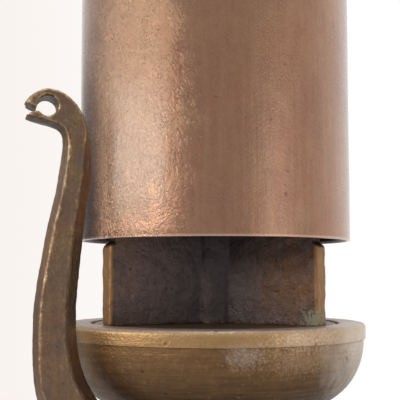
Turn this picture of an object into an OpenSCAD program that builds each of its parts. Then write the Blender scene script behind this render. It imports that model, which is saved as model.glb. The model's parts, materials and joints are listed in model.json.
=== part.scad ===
// Three-note steam whistle: an open bell over a bowl, with the valve and its side lever built in below.
// Millimetres, +Z up along the whistle's axis, origin at the centre of the pipe inlet's bottom face.
// The viewer stands at -Y. The valve and lever use a side frame: +X outward to the lever, +Y to the viewer.

/* [Bell] */
// Outside diameter of the bell
bell_d = 152.4; // [148:0.2:158]
// Wall of the bell tube
bell_wall = 3.2; // [2.4:0.1:4]
// Length of the bell tube
bell_len = 254; // [240:1:280]
// Width of the bevel inside the bell's lip
lip_bevel = 1.3; // [0.5:0.1:1.8]
// Open height of the mouth, from the bowl's rim to the bell's lip
mouth_h = 45; // [40:0.5:50]

/* [Bell top] */
// Thickness of the bell top's flange over the tube
top_flange = 5; // [4:0.5:8]
// Depth of the spigot that fits inside the tube
top_spigot = 5; // [4:0.5:8]
// Rise of the dome over its flange
dome_rise = 11; // [8:0.5:16]
// Diameter of the dome's flat centre boss
top_boss_d = 44; // [38:0.5:50]

/* [Chime partition] */
// Thickness of the three wings in the mouth
wing_foot_t = 10.5; // [8:0.1:12]
// Thickness of the wings inside the bell
wing_t = 4; // [3:0.1:6]
// Distance that a wing's outer edge stops short of the bell's inside in the mouth
wing_inset = 7; // [6:0.1:9]
// Depth of the rounded notch in a wing's outer edge under the lip
notch_d = 3.2; // [2.5:0.1:4]
// Distance of that notch's lower end below the lip
notch_h = 5; // [4:0.5:9]
// Height above the lip where a wing starts to reach out to the bell's wall
wing_step_h = 5; // [3:0.5:8]
// Height that it takes for that
wing_reach_h = 8; // [5:0.5:10]
// Height of the thick foot above the lip
foot_h = 24; // [18:0.5:30]
// Diameter of the partition's hub
hub_d = 26; // [24:0.5:30]
// Turn of the three wings about the axis, degrees
wing_turn = -1; // [-5:0.5:5]
// Sounding length of the middle chamber
middle_len = 205; // [190:1:215]
// Sounding length of the short chamber
short_len = 168; // [150:1:180]
// Thickness of the chamber plates
plate_t = 4; // [3:0.5:6]

/* [Bowl] */
// Diameter of the bowl's rim band
rim_d = 167.6; // [166:0.2:170]
// Height of the rim band
band_h = 9; // [6:0.5:12]
// Step from the rim band to the bowl's side
band_step = 1; // [0.9:0.1:1.5]
// Rounding of the rim band's edges
band_edge = 0.8; // [0.3:0.1:0.8]
// Radius of the bowl's rounded side
bowl_arc_r = 38; // [36:0.5:40]
// Wall of the bowl
bowl_wall = 5; // [4:0.5:6.5]
// Thickness of the rim's inward lip
rim_lip_t = 7; // [5:0.5:9]
// Diameter of the boss under the bowl
boss_d = 68; // [60:0.5:74]
// Length of the boss under the bowl
boss_h = 13; // [11:0.5:16]
// Radius of the cove between the boss and the bowl
boss_cove = 6; // [3:0.5:8]
// Diameter of the hub of the spider that carries the stud
spider_hub_d = 32; // [28:0.5:36]
// Thickness of the spider's three ribs
rib_t = 6; // [4:0.5:8]

/* [Languid disc and stud] */
// Diameter of the languid disc
languid_d = 135.4; // [133:0.2:137]
// Thickness of the languid disc
languid_t = 6; // [5:0.5:8]
// Width of the ring slot that the steam leaves through
slot_w = 2; // [1.5:0.1:2.5]
// Depth of the languid disc's top below the rim
languid_drop = 0.5; // [0.2:0.1:1]
// Diameter of the centre stud
stud_d = 16; // [14:0.5:18]
// Length of the stud's thread in the spider's hub
stud_grip = 22; // [16:1:26]

/* [Top fastening] */
// Diameter of the top washer
washer_d = 36; // [32:0.5:38]
// Thickness of the top washer
washer_t = 3; // [2:0.5:4]
// Width across flats of the top nut
top_nut_af = 27; // [25:0.5:30]
// Thickness of the top nut
top_nut_h = 13; // [10:0.5:16]
// Width across flats of the acorn nut
acorn_af = 26; // [25:0.5:30]
// Height of the acorn nut's hexagon
acorn_hex_h = 9; // [7:0.5:12]
// Diameter of the acorn nut's ball
acorn_ball_d = 25; // [22:0.5:27]

/* [Pipe inlet] */
// Width across flats of the inlet hexagon
inlet_af = 64; // [60:0.5:70]
// Height of the inlet hexagon
inlet_h = 26; // [24:0.5:32]
// Diameter of the inlet's pipe thread
inlet_bore_d = 44; // [40:0.5:46]
// Depth of the inlet's pipe thread
inlet_depth = 22; // [18:0.5:22]

/* [Valve body] */
// Diameter of the upright barrel
barrel_d = 56; // [52:0.5:57]
// Radius of the cove between the barrel and the inlet's hexagon
inlet_cove = 3; // [1:0.5:3]
// Radius of the cove between the barrel and the shoulder
shoulder_cove = 1; // [0.5:0.1:1]
// Diameter of the cross chamber's shell
chamber_d = 44; // [43:0.5:46]
// Diameter of the pressure side's bore
pressure_bore_d = 36; // [34:0.5:37]
// Diameter of the outlet side's bore
outlet_bore_d = 32; // [30:0.5:34]
// Reach of the cross chamber away from the lever
pressure_reach = 48; // [47:0.5:54]
// Reach of the cross chamber toward the lever
outlet_reach = 52; // [50:0.5:58]
// Width across flats of the shoulder under the bowl
shoulder_af = 60; // [56:0.5:64]
// Height of that shoulder
shoulder_h = 8; // [6:0.5:10]
// Diameter of the neck thread
neck_d = 42; // [40:0.5:43]
// Diameter of the steam passage in the neck
neck_bore_d = 32; // [28:0.5:33]
// Diameter of the port from the inlet to the pressure side
inlet_port_d = 19; // [16:0.5:20]
// Diameter of the port from the outlet side to the neck
outlet_port_d = 17; // [14:0.5:17]
// Length of the collar round the pressure side's mouth
cap_collar_len = 9; // [6:0.5:10]
// Length of the collar round the outlet side's mouth
plug_collar_len = 9; // [6:0.5:10]
// Thickness of the web that holds the seat ring
web_t = 9; // [7:0.5:9]

/* [Valve] */
// Outside diameter of the seat ring
seat_d = 28; // [27:0.5:29]
// Bore of the seat ring
seat_bore_d = 21; // [19:0.5:22]
// Length of the seat ring
seat_len = 11; // [10:0.5:12]
// Diameter of the valve disc
disc_d = 30; // [29:0.5:31]
// Thickness of the valve disc
disc_t = 7; // [6:0.5:8]
// Diameter of the soft facing
facing_d = 27; // [25:0.5:28]
// Thickness of the soft facing
facing_t = 3; // [2.5:0.5:4]
// Diameter of the valve stem
stem_d = 10; // [9:0.5:11]
// Diameter of the stem's threaded tail
tail_d = 8; // [7:0.5:8.5]
// Thickness of the stem's three guide wings
guide_t = 2.5; // [2:0.1:3.5]
// Width across flats of the disc nut
disc_nut_af = 15; // [14:0.5:16]
// Thickness of the disc nut
disc_nut_h = 6; // [5:0.5:7]
// Mean diameter of the return spring
spring_d = 23; // [22:0.5:24]
// Wire diameter of the return spring
wire_d = 2.6; // [2:0.1:2.8]
// Number of coils
coils = 6; // [5:0.5:6.5]

/* [Rock shaft and lever] */
// Direction of the lever, degrees from -X toward the viewer
lever_turn = 15; // [10:1:25]
// Distance from the whistle's axis to the lever's middle plane
lever_offset = 39; // [39:0.5:42]
// Thickness of the lever
lever_t = 18; // [15:0.5:18]
// Diameter of the lever's hub
lever_hub_d = 34; // [30:0.5:36]
// Diameter of the eye in the lever's hook
eye_d = 10.4; // [8:0.1:11]
// Width of the hook's gap at the eye
hook_gap = 2.4; // [1.5:0.1:4]
// Distance of the rock shaft from the whistle's axis
shaft_out = 30; // [29:0.5:31]
// Diameter of the rock shaft
shaft_d = 16; // [15:0.5:17]
// Width of the square that carries the lever
square_w = 11; // [10:0.1:11.2]
// Length of the toe, from the shaft to its tip
toe_len = 24; // [23:0.5:25]
// Radius of the toe's rounded tip
toe_tip_r = 6; // [5:0.5:7]
// Width across flats of the shaft nut
shaft_nut_af = 17; // [16:0.5:19]
// Thickness of the shaft nut
shaft_nut_h = 9; // [7:0.5:11]

/* [Fits] */
// Radial clearance of a running fit
running = 0.06; // [0.02:0.01:0.1]
// Clearance between the partition and the bell's inside
bell_fit = 0.2; // [0.1:0.05:0.4]
// Gap between parts that move apart
rest_gap = 0.3; // [0.2:0.05:0.5]
// Clearance between fixed parts
fixed_fit = 0.05; // [0.02:0.01:0.1]

/* [Hidden] */
$fn = 96;
eps = 0.01;

// Colours
copper = [0.52, 0.36, 0.28];
cast_gold = [0.55, 0.42, 0.22];
dark_bronze = [0.36, 0.29, 0.21];
purple_bronze = [0.33, 0.25, 0.24];
steel = [0.55, 0.55, 0.56];
fibre = [0.35, 0.12, 0.1];
graphite = [0.16, 0.16, 0.17];

// Heights along the whistle's axis
chamber_z = inlet_h + 10 + chamber_d / 2;
shaft_z = chamber_z - 2 + toe_len;
toe_wall = 4;
toe_cavity_r = 14;
toe_house_r = toe_cavity_r + toe_wall;
boss_z = shaft_z + toe_house_r + 2;
shoulder_z = boss_z - shoulder_h;
bowl_bottom_z = boss_z + boss_h;
arc_z = bowl_bottom_z + bowl_arc_r;
rim_z = arc_z + 9;
lip_z = rim_z + mouth_h;
bell_top_z = lip_z + bell_len;
languid_top_z = rim_z - languid_drop;
languid_z = languid_top_z - languid_t;
neck_top_z = bowl_bottom_z + bowl_wall;
spider_hub_z = neck_top_z + 7;
dome_top_z = bell_top_z + top_flange + dome_rise;
washer_z = dome_top_z;
top_nut_z = washer_z + washer_t;
acorn_z = top_nut_z + top_nut_h;

// Radii
bell_r = bell_d / 2;
bell_in_r = bell_r - bell_wall;
rim_r = rim_d / 2;
side_r = rim_r - band_step;
arc_centre_r = side_r - bowl_arc_r;
languid_r = languid_d / 2;
slot_r = languid_r + slot_w;
wing_r = bell_in_r - wing_inset;
hub_r = hub_d / 2;
stud_r = stud_d / 2;
shaft_r = shaft_d / 2;

// Places along the cross chamber, from the whistle's axis toward the lever
web_out = 8;
web_in = web_out - web_t;
inlet_port_out = 12;
seat_face = web_out - seat_len;
facing_face = seat_face - rest_gap;
stem_flange_t = 3;
facing_lip = 1.7;
disc_face = facing_face - facing_lip;
disc_back = disc_face - disc_t;
stem_end = shaft_out - toe_tip_r - rest_gap;
stem_button_d = stem_d + 2;
stem_button_t = 4;
cap_thread = 10;
cap_inner = -pressure_reach + cap_thread;
tail_end = cap_inner - 6;
guide_end = tail_end - 8;
gasket_t = 1.5;
cap_af = 42;
cap_hex_t = 10;
plug_thread = 10;
plug_af = 36;
spring_start = disc_back - rest_gap - wire_d / 2;
spring_end = cap_inner + rest_gap + wire_d / 2;

// Places along the rock shaft, from the cross chamber's axis toward the viewer
toe_half_w = 9;
cavity_half_w = 11;
rear_wall_y = -24;
rear_bush_y = -20;
bush_wall = 2;
box_y = 18;
box_r = shaft_r + 4;
box_wall = 4;
packing_len = 4.5;
follower_len = 2;
hub_proud = 0.5;
lever_back_y = lever_offset - lever_t / 2 - hub_proud;
lever_front_y = lever_offset + lever_t / 2 + hub_proud;
gland_y = lever_back_y - 0.5;
square_y = gland_y;
shaft_thread_d = 10;
shaft_washer_d = 24;
shaft_washer_t = 2.5;

// Puts a shape of the side frame into the whistle's frame
module side() { rotate([0, 0, 180 + lever_turn]) children(); }

// Turns a shape that stands on +Z onto the cross chamber's axis, starting at x0
module on_chamber(x0) { translate([x0, 0, chamber_z]) rotate([0, 90, 0]) children(); }

// Turns a shape that stands on +Z onto the rock shaft's axis, starting at y0
module on_shaft(y0) { translate([shaft_out, y0, shaft_z]) rotate([-90, 0, 0]) children(); }

// Cylinder on the cross chamber's axis, from x0 to x1
module along_x(x0, x1, d) { on_chamber(x0) cylinder(h = x1 - x0, d = d); }

// Cylinder on the rock shaft's axis, from y0 to y1
module along_shaft(y0, y1, d) { on_shaft(y0) cylinder(h = y1 - y0, d = d); }

// Points of an arc about c, from angle a0 to a1
function arc(c, r, a0, a1, steps = 5) =
    [for (k = [0 : steps]) let (a = a0 + (a1 - a0) * k / steps) c + r * [cos(a), sin(a)]];

// Rod from z = 0 to h whose end edges are rounded by low and high
module soft_rod(h, d, low, high) {
    rotate_extrude() polygon(concat([[0, 0]],
        low > 0 ? arc([d / 2 - low, low], low, 270, 360) : [[d / 2, 0]],
        high > 0 ? arc([d / 2 - high, h - high], high, 0, 90) : [[d / 2, h]],
        [[0, h]]));
}

// Ring about the whistle's axis, from z0 to z1
module ring(z0, z1, d_out, d_in) {
    difference() {
        translate([0, 0, z0]) cylinder(h = z1 - z0, d = d_out);
        translate([0, 0, z0 - 1]) cylinder(h = z1 - z0 + 2, d = d_in);
    }
}

// Diameter over the corners of a hexagon that is af across its flats
function corners(af) = af / cos(30);

// Hexagonal prism whose corners are turned off at 30 degrees at both ends
module hexagon(h, af) {
    face_r = 0.97 * af / 2;
    out_r = corners(af) / 2 + 1;
    fall = (out_r - face_r) * tan(30);
    intersection() {
        cylinder(h = h, d = corners(af), $fn = 6);
        rotate_extrude()
            polygon([[0, 0], [face_r, 0], [out_r, fall], [out_r, h - fall], [face_r, h], [0, h]]);
    }
}

// Outline of the upright barrel, with a cove to the hexagon at each end
module barrel_outline() {
    barrel_r = barrel_d / 2;
    foot_r = barrel_r + inlet_cove;
    head_r = barrel_r + shoulder_cove;
    polygon(concat([[0, inlet_h - 3], [foot_r, inlet_h - 3]],
        arc([foot_r, inlet_h + inlet_cove], inlet_cove, 270, 180),
        arc([head_r, shoulder_z - shoulder_cove], shoulder_cove, 180, 90),
        [[head_r, shoulder_z + 1], [0, shoulder_z + 1]]));
}

// Valve body: pipe inlet, cross chamber, toe housing and the neck that carries the bowl
module valve_body_shell() {
    collar_edge = 1.5;
    hexagon(inlet_h, inlet_af);
    rotate_extrude() barrel_outline();
    translate([0, 0, shoulder_z]) hexagon(shoulder_h, shoulder_af);
    translate([0, 0, boss_z - 1]) cylinder(h = neck_top_z - boss_z + 1, d = neck_d);
    along_x(-pressure_reach, outlet_reach, chamber_d);
    on_chamber(-pressure_reach) soft_rod(cap_collar_len, chamber_d + 6, collar_edge, collar_edge);
    on_chamber(outlet_reach - plug_collar_len)
        soft_rod(plug_collar_len, chamber_d + 4, collar_edge, collar_edge);
    on_shaft(rear_wall_y) soft_rod(box_y - rear_wall_y, 2 * toe_house_r, 3, 1.5);
    on_shaft(box_y - 2) soft_rod(gland_y - box_y + 2, 2 * (box_r + box_wall), 0, 1);
}

module valve_body_bores() {
    translate([0, 0, -1]) cylinder(h = inlet_depth + 1, d = inlet_bore_d);
    translate([-inlet_port_out, 0, inlet_depth - 1]) cylinder(h = chamber_z - inlet_depth, d = inlet_port_d);
    along_x(-pressure_reach - 1, web_in, pressure_bore_d);
    along_x(web_in - 1, web_out + 1, seat_d);
    along_x(web_out, outlet_reach + 1, outlet_bore_d);
    translate([web_out + outlet_port_d / 2 + 0.5, 0, chamber_z])
        cylinder(h = shoulder_z - chamber_z, d = outlet_port_d);
    translate([0, 0, shoulder_z - shoulder_h])
        cylinder(h = neck_top_z - shoulder_z + shoulder_h + 1, d = neck_bore_d);
    along_shaft(-cavity_half_w, cavity_half_w, 2 * toe_cavity_r);
    along_shaft(rear_bush_y, 0, shaft_d + 2 * bush_wall);
    along_shaft(0, gland_y + 1, shaft_d + 2 * running);
    along_shaft(box_y, gland_y + 1, 2 * box_r);
    // Spot face for the end plug's hexagon
    along_x(outlet_reach, outlet_reach + 30, corners(plug_af) + 2);
}

module valve_body() {
    color(cast_gold) side() difference() {
        valve_body_shell();
        valve_body_bores();
    }
}

module seat_ring() {
    color(cast_gold) side() difference() {
        along_x(seat_face, web_out, seat_d);
        along_x(seat_face - 1, web_out + 1, seat_bore_d);
    }
}

module spring_cap() {
    color(cast_gold) side() difference() {
        union() {
            along_x(-pressure_reach - gasket_t, cap_inner, pressure_bore_d);
            on_chamber(-pressure_reach - gasket_t - cap_hex_t) hexagon(cap_hex_t, cap_af);
        }
        along_x(guide_end, cap_inner + 1, tail_d + 2 * running);
    }
}

module spring_cap_gasket() {
    color(fibre) side() difference() {
        along_x(-pressure_reach - gasket_t, -pressure_reach, cap_af);
        along_x(-pressure_reach - gasket_t - 1, -pressure_reach + 1, pressure_bore_d);
    }
}

module end_plug() {
    color(cast_gold) side() {
        along_x(outlet_reach - plug_thread, outlet_reach + gasket_t, outlet_bore_d);
        on_chamber(outlet_reach + gasket_t) hexagon(cap_hex_t, plug_af);
    }
}

module end_plug_gasket() {
    color(fibre) side() difference() {
        along_x(outlet_reach, outlet_reach + gasket_t, plug_af);
        along_x(outlet_reach - 1, outlet_reach + gasket_t + 1, outlet_bore_d);
    }
}

// Return spring: one tube of wire wound about the stem, behind the disc
coil_steps = 12;
wire_sides = 6;
spring_rings = round(coils * coil_steps);
spring_pitch = (spring_start - spring_end) / coils;
function spring_turn(i) = 360 * i / coil_steps;
function spring_centre(i) = spring_end + spring_pitch * i / coil_steps;
function wire_point(i, j) =
    let (t = spring_turn(i), w = 360 * j / wire_sides, r = (spring_d + wire_d * cos(w)) / 2)
    [spring_centre(i) + wire_d / 2 * sin(w), r * cos(t), r * sin(t)];
echo(spring_gap = spring_pitch - wire_d);

module valve_spring() {
    points = [for (i = [0 : spring_rings]) for (j = [0 : wire_sides - 1]) wire_point(i, j)];
    walls = [for (i = [0 : spring_rings - 1]) for (j = [0 : wire_sides - 1])
        let (k = (j + 1) % wire_sides, a = i * wire_sides)
        each [[a + j, a + k, a + wire_sides + j], [a + k, a + wire_sides + k, a + wire_sides + j]]];
    first = [for (j = [wire_sides - 1 : -1 : 0]) j];
    last = [for (j = [0 : wire_sides - 1]) spring_rings * wire_sides + j];
    color(steel) side() translate([0, 0, chamber_z]) polyhedron(points, concat(walls, [first, last]));
}

module rear_bushing() {
    color(copper) side() difference() {
        along_shaft(rear_bush_y, -cavity_half_w, shaft_d + 2 * bush_wall);
        along_shaft(rear_bush_y + 1, -cavity_half_w + 1, shaft_d + 2 * running);
    }
}

// Ring in the stuffing box round the rock shaft
module box_ring(y0, y1) {
    difference() {
        along_shaft(y0, y1, 2 * box_r);
        along_shaft(y0 - 1, y1 + 1, shaft_d + 2 * running);
    }
}

module shaft_packing() { color(graphite) side() box_ring(box_y, box_y + packing_len); }

module gland_follower() {
    color(copper) side() box_ring(box_y + packing_len, box_y + packing_len + follower_len);
}

module gland_ring() {
    spanner_hole_d = 2;
    color(cast_gold) side() difference() {
        box_ring(box_y + packing_len + follower_len, gland_y);
        for (turn = [0, 180]) translate([shaft_out, 0, shaft_z]) rotate([0, turn, 0])
            translate([(shaft_r + box_r) / 2, gland_y - 3, 0]) rotate([-90, 0, 0])
                cylinder(h = 4, d = spanner_hole_d);
    }
}

// Outline of the bowl's outside, drawn in by inset
module bowl_outside(inset = 0) {
    translate([0, bowl_bottom_z + inset]) square([arc_centre_r, bowl_arc_r]);
    intersection() {
        translate([arc_centre_r, arc_z]) circle(r = bowl_arc_r - inset);
        translate([arc_centre_r, bowl_bottom_z]) square([bowl_arc_r + 2, bowl_arc_r]);
    }
    translate([0, arc_z]) square([side_r - inset, rim_z - arc_z]);
}

module rim_band_outline() {
    edge_r = rim_r - band_edge;
    polygon(concat([[0, rim_z - band_h]], arc([edge_r, rim_z - band_h + band_edge], band_edge, 270, 360),
        arc([edge_r, rim_z - band_edge], band_edge, 0, 90), [[0, rim_z]]));
}

module boss_outline() {
    boss_edge = 1;
    cove_r = boss_d / 2 + boss_cove;
    polygon(concat([[0, boss_z]], arc([boss_d / 2 - boss_edge, boss_z + boss_edge], boss_edge, 270, 360),
        arc([cove_r, bowl_bottom_z - boss_cove], boss_cove, 180, 90),
        [[cove_r, bowl_bottom_z + 1], [0, bowl_bottom_z + 1]]));
}

module bowl_outline() {
    difference() {
        union() {
            bowl_outside();
            rim_band_outline();
            boss_outline();
        }
        difference() {
            bowl_outside(bowl_wall);
            polygon([[slot_r, rim_z + 1], [slot_r, rim_z - rim_lip_t], [side_r, rim_z - rim_lip_t - 8],
                [side_r + 9, rim_z - rim_lip_t - 8], [side_r + 9, rim_z + 1]]);
        }
        translate([0, boss_z - 1]) square([neck_d / 2 + fixed_fit, boss_h + bowl_wall + 2]);
    }
}

module bowl() { color(cast_gold) rotate_extrude() bowl_outline(); }

// Hub and three ribs that are brazed into the bowl and carry the centre stud
module stud_spider() {
    // The hub stands clear of the bowl's floor, so steam passes under it; the ribs stop short of the disc
    rib_h = languid_z - spider_hub_z - 6;
    rib_root = (spider_hub_d / 2 + stud_r) / 2;
    color(cast_gold) difference() {
        union() {
            translate([0, 0, spider_hub_z]) cylinder(h = languid_z - spider_hub_z, d = spider_hub_d);
            intersection() {
                for (turn = [30, 150, 270]) rotate([0, 0, turn])
                    translate([rib_root, -rib_t / 2, spider_hub_z]) cube([side_r - rib_root, rib_t, rib_h]);
                rotate_extrude() bowl_outside(bowl_wall + fixed_fit);
            }
        }
        translate([0, 0, spider_hub_z - 1]) cylinder(h = languid_z - spider_hub_z + 2, d = stud_d);
    }
}

module languid_disc() {
    color(cast_gold) ring(languid_z, languid_top_z, languid_d, stud_d + 2 * fixed_fit);
}

module center_stud() {
    color(steel) translate([0, 0, languid_z - stud_grip])
        cylinder(h = acorn_z + acorn_hex_h - languid_z + stud_grip, d = stud_d);
}

// One wing of the partition, in the plane of the axis: r outward, z up.
// It starts in the middle of the hub's wall, clear of the stud's hole.
wing_root = (hub_r + stud_r + fixed_fit) / 2;
module wing_foot_outline() {
    polygon(concat([[wing_root, languid_top_z], [wing_r, languid_top_z]],
        arc([wing_r - notch_d, lip_z - notch_h], notch_d, 0, 90),
        [[wing_r - notch_d, lip_z + wing_step_h], [bell_in_r, lip_z + wing_step_h + wing_reach_h],
        [bell_in_r, lip_z + foot_h], [wing_root, lip_z + foot_h]]));
}

module wing_places() { for (turn = [90, 210, 330]) rotate([0, 0, turn + wing_turn]) children(); }

module chime_partition() {
    inside_top = bell_top_z - top_spigot;
    color(purple_bronze) difference() {
        union() {
            translate([0, 0, languid_top_z]) cylinder(h = inside_top - languid_top_z, r = hub_r);
            intersection() {
                wing_places() rotate([90, 0, 0]) {
                    linear_extrude(wing_foot_t, center = true) wing_foot_outline();
                    linear_extrude(wing_t, center = true) translate([wing_root, lip_z + foot_h - 1])
                        square([bell_in_r - wing_root, inside_top - lip_z - foot_h + 1]);
                }
                translate([0, 0, languid_top_z - 1])
                    cylinder(h = inside_top - languid_top_z + 2, r = bell_in_r - bell_fit);
            }
        }
        translate([0, 0, languid_top_z - 1]) cylinder(h = bell_len + mouth_h + 50, r = stud_r + fixed_fit);
    }
}

// Plate that closes one chamber at its sounding length, between two wings
module chamber_plate(length, turn) {
    gap = wing_t / 2 + fixed_fit;
    rotate([0, 0, turn + wing_turn]) difference() {
        rotate_extrude(angle = 120) translate([hub_r + fixed_fit, lip_z + length])
            square([bell_in_r - 2 * fixed_fit - hub_r, plate_t]);
        translate([0, -1, lip_z]) cube([bell_r, 1 + gap, bell_len]);
        rotate([0, 0, 120]) translate([0, -gap, lip_z]) cube([bell_r, 1 + gap, bell_len]);
    }
}

module middle_chamber_plate() { color(cast_gold) chamber_plate(middle_len, 90); }

module short_chamber_plate() { color(cast_gold) chamber_plate(short_len, 330); }

module bell_tube() {
    color(copper) rotate_extrude() polygon([[bell_in_r, bell_top_z], [bell_in_r, lip_z + lip_bevel],
        [bell_in_r + lip_bevel, lip_z], [bell_r, lip_z], [bell_r, bell_top_z]]);
}

// Domed top: a flange on the tube, a spigot inside it and a boss for the nut
module dome() {
    // The dome's curve is an arc from the flange's edge to the boss
    run = bell_r - 3 - top_boss_d / 2;
    arc_r = (run * run + dome_rise * dome_rise) / (2 * dome_rise);
    intersection() {
        translate([top_boss_d / 2, dome_top_z - arc_r]) circle(r = arc_r, $fn = 360);
        translate([top_boss_d / 2 - eps, bell_top_z]) square([run + eps, dome_rise + top_flange]);
    }
    boss_edge = 1.5;
    translate([0, bell_top_z]) polygon(concat([[0, 0], [top_boss_d / 2, 0]],
        arc([top_boss_d / 2 - boss_edge, dome_rise + top_flange - boss_edge], boss_edge, 0, 90),
        [[0, dome_rise + top_flange]]));
}

// Outline of the top's flange, with its outer upper edge rounded
module top_flange_outline() {
    flange_edge = 2;
    translate([0, bell_top_z]) polygon(concat([[0, 0], [bell_r, 0]],
        arc([bell_r - flange_edge, top_flange - flange_edge], flange_edge, 0, 90), [[0, top_flange]]));
}

module bell_top() {
    color(copper) difference() {
        rotate_extrude() {
            dome();
            top_flange_outline();
            translate([0, bell_top_z - top_spigot]) square([bell_in_r - fixed_fit, top_spigot + 1]);
        }
        translate([0, 0, bell_top_z - top_spigot - 1]) cylinder(h = 90, r = stud_r + fixed_fit);
    }
}

module top_washer() { color(copper) ring(washer_z, washer_z + washer_t, washer_d, stud_d + 2 * fixed_fit); }

module top_nut() {
    color(cast_gold) difference() {
        translate([0, 0, top_nut_z]) hexagon(top_nut_h, top_nut_af);
        translate([0, 0, top_nut_z - 1]) cylinder(h = top_nut_h + 2, d = stud_d + 2 * fixed_fit);
    }
}

module acorn_nut() {
    color(cast_gold) difference() {
        union() {
            translate([0, 0, acorn_z]) hexagon(acorn_hex_h, acorn_af);
            translate([0, 0, acorn_z + acorn_hex_h + 4]) sphere(d = acorn_ball_d);
        }
        translate([0, 0, acorn_z - acorn_ball_d]) cylinder(h = acorn_ball_d, d = 2 * acorn_ball_d);
        translate([0, 0, acorn_z - 1]) cylinder(h = acorn_hex_h + 2, d = stud_d + 2 * fixed_fit);
    }
}

// Stem with a shoulder for the disc, three guide wings in the seat's bore and a button for the toe
module valve_stem() {
    guide_out = seat_face + seat_len + 6;
    color(steel) side() {
        along_x(tail_end, facing_face + eps, tail_d);
        along_x(facing_face, facing_face + stem_flange_t, stem_d + 6);
        along_x(facing_face, stem_end, stem_d);
        along_x(stem_end - stem_button_t, stem_end, stem_button_d);
        intersection() {
            along_x(facing_face + stem_flange_t, guide_out, seat_bore_d - 2 * running);
            translate([0, 0, chamber_z]) for (turn = [0, 120, 240]) rotate([turn, 0, 0])
                translate([0, -guide_t / 2, 0]) cube([guide_out, guide_t, seat_bore_d]);
        }
    }
}

module valve_disc() {
    color(cast_gold) side() difference() {
        along_x(disc_back, disc_face, disc_d);
        along_x(facing_face - facing_t, disc_face + 1, facing_d);
        along_x(disc_back - 1, disc_face + 1, tail_d + 2 * fixed_fit);
    }
}

module disc_facing() {
    color(graphite) side() difference() {
        along_x(facing_face - facing_t, facing_face, facing_d);
        along_x(facing_face - facing_t - 1, facing_face + 1, tail_d + 2 * fixed_fit);
    }
}

module disc_nut() {
    color(steel) side() difference() {
        on_chamber(disc_back - disc_nut_h) hexagon(disc_nut_h, disc_nut_af);
        along_x(disc_back - disc_nut_h - 1, disc_back + 1, tail_d + 2 * fixed_fit);
    }
}

// Rock shaft: round in its bearings, square under the lever, threaded for the nut
toe_pin_d = 4;
module toe_pin_hole(length) {
    translate([shaft_out - length / 2, 0, shaft_z]) rotate([0, 90, 0]) cylinder(h = length, d = toe_pin_d);
}

module rock_shaft() {
    color(steel) side() difference() {
        union() {
            along_shaft(rear_bush_y + 1.3, square_y, shaft_d);
            translate([shaft_out - square_w / 2, square_y - eps, shaft_z - square_w / 2])
                cube([square_w, lever_front_y - square_y - 0.5, square_w]);
            along_shaft(square_y, lever_front_y + shaft_washer_t + shaft_nut_h + 3, shaft_thread_d);
        }
        toe_pin_hole(shaft_d + 2);
    }
}

module valve_toe() {
    hub_toe_d = 2 * toe_cavity_r - 3;
    toe_tip_half_w = 6;
    // The toe tapers from its hub down to its tip
    root_half = toe_tip_r + 1;
    tip_half = toe_tip_r - 1;
    color(steel) side() difference() {
        union() {
            along_shaft(-toe_half_w, toe_half_w, hub_toe_d);
            translate([shaft_out, toe_tip_half_w, shaft_z]) rotate([90, 0, 0])
                linear_extrude(2 * toe_tip_half_w) {
                    translate([0, -toe_len]) circle(r = toe_tip_r);
                    polygon([[-tip_half, -toe_len], [tip_half, -toe_len], [root_half, 0], [-root_half, 0]]);
                }
        }
        along_shaft(-toe_half_w - 1, toe_half_w + 1, shaft_d + 2 * fixed_fit);
        toe_pin_hole(2 * toe_cavity_r);
    }
}

module toe_pin() { color(steel) side() toe_pin_hole(2 * toe_cavity_r - 4); }

// Lever: a casting with draft, widest at its middle plane and drawn in toward both faces.
// Each point of its edge is [outward, up, draw-in], with a smooth curve through the points.
lever_foot_inner = [for (p = [[3, 16, 2], [18, 23.5, 3], [30.5, 32.5, 4.5], [40.5, 43, 5.6]])
    [shaft_out + p[0], shaft_z + p[1], p[2]]];
lever_belly_inner = [for (p = [[-6.8, -26, 6], [-3.5, -16.5, 6], [-1.7, -4, 6], [-1.4, 10, 6], [-2.6, 27, 6]])
    [rim_r + p[0], rim_z + p[1], p[2]]];
lever_neck_inner = [for (p = [[3, 2, 5.8], [1, 19, 5.2], [-0.6, 31, 5], [-0.5, 43, 4.2], [0.7, 53, 2]])
    [bell_r + p[0], lip_z + p[1], p[2]]];
hook_edge = [for (p = [[4.8, 63.9, 1], [12.8, 72.3, 1], [22.1, 75, 1], [29, 72.3, 1], [33.6, 67, 1],
    [34.8, 63, 1], [33.2, 60, 1], [27, 57.9, 1], [20.3, 56.2, 1], [15.4, 53.6, 1.4], [13.9, 49, 1.8]])
    [bell_r + p[0], lip_z + p[1], p[2]]];
lever_neck_outer = [for (p = [[14.1, 43, 2.4], [15.4, 34, 2.6], [17.2, 22, 2.6], [20.6, 7, 2.6],
    [23.4, -9, 2.6]])
    [bell_r + p[0], lip_z + p[1], p[2]]];
lever_belly_outer = [for (p = [[18.4, 20, 2.6], [19.7, 6, 2.6], [19.9, -9, 2.6], [19.2, -22.5, 2.6],
    [17.2, -35, 2.6]])
    [rim_r + p[0], rim_z + p[1], p[2]]];
lever_foot_outer = [for (p = [[65.5, 32, 2.5], [55.5, 18.5, 2.5], [41, 5.5, 2.4], [24, -6.5, 2.2], [6, -16, 2]])
    [shaft_out + p[0], shaft_z + p[1], p[2]]];
lever_points = concat(lever_foot_inner, lever_belly_inner, lever_neck_inner, hook_edge,
    lever_neck_outer, lever_belly_outer, lever_foot_outer);
edge_steps = 3;

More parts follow.
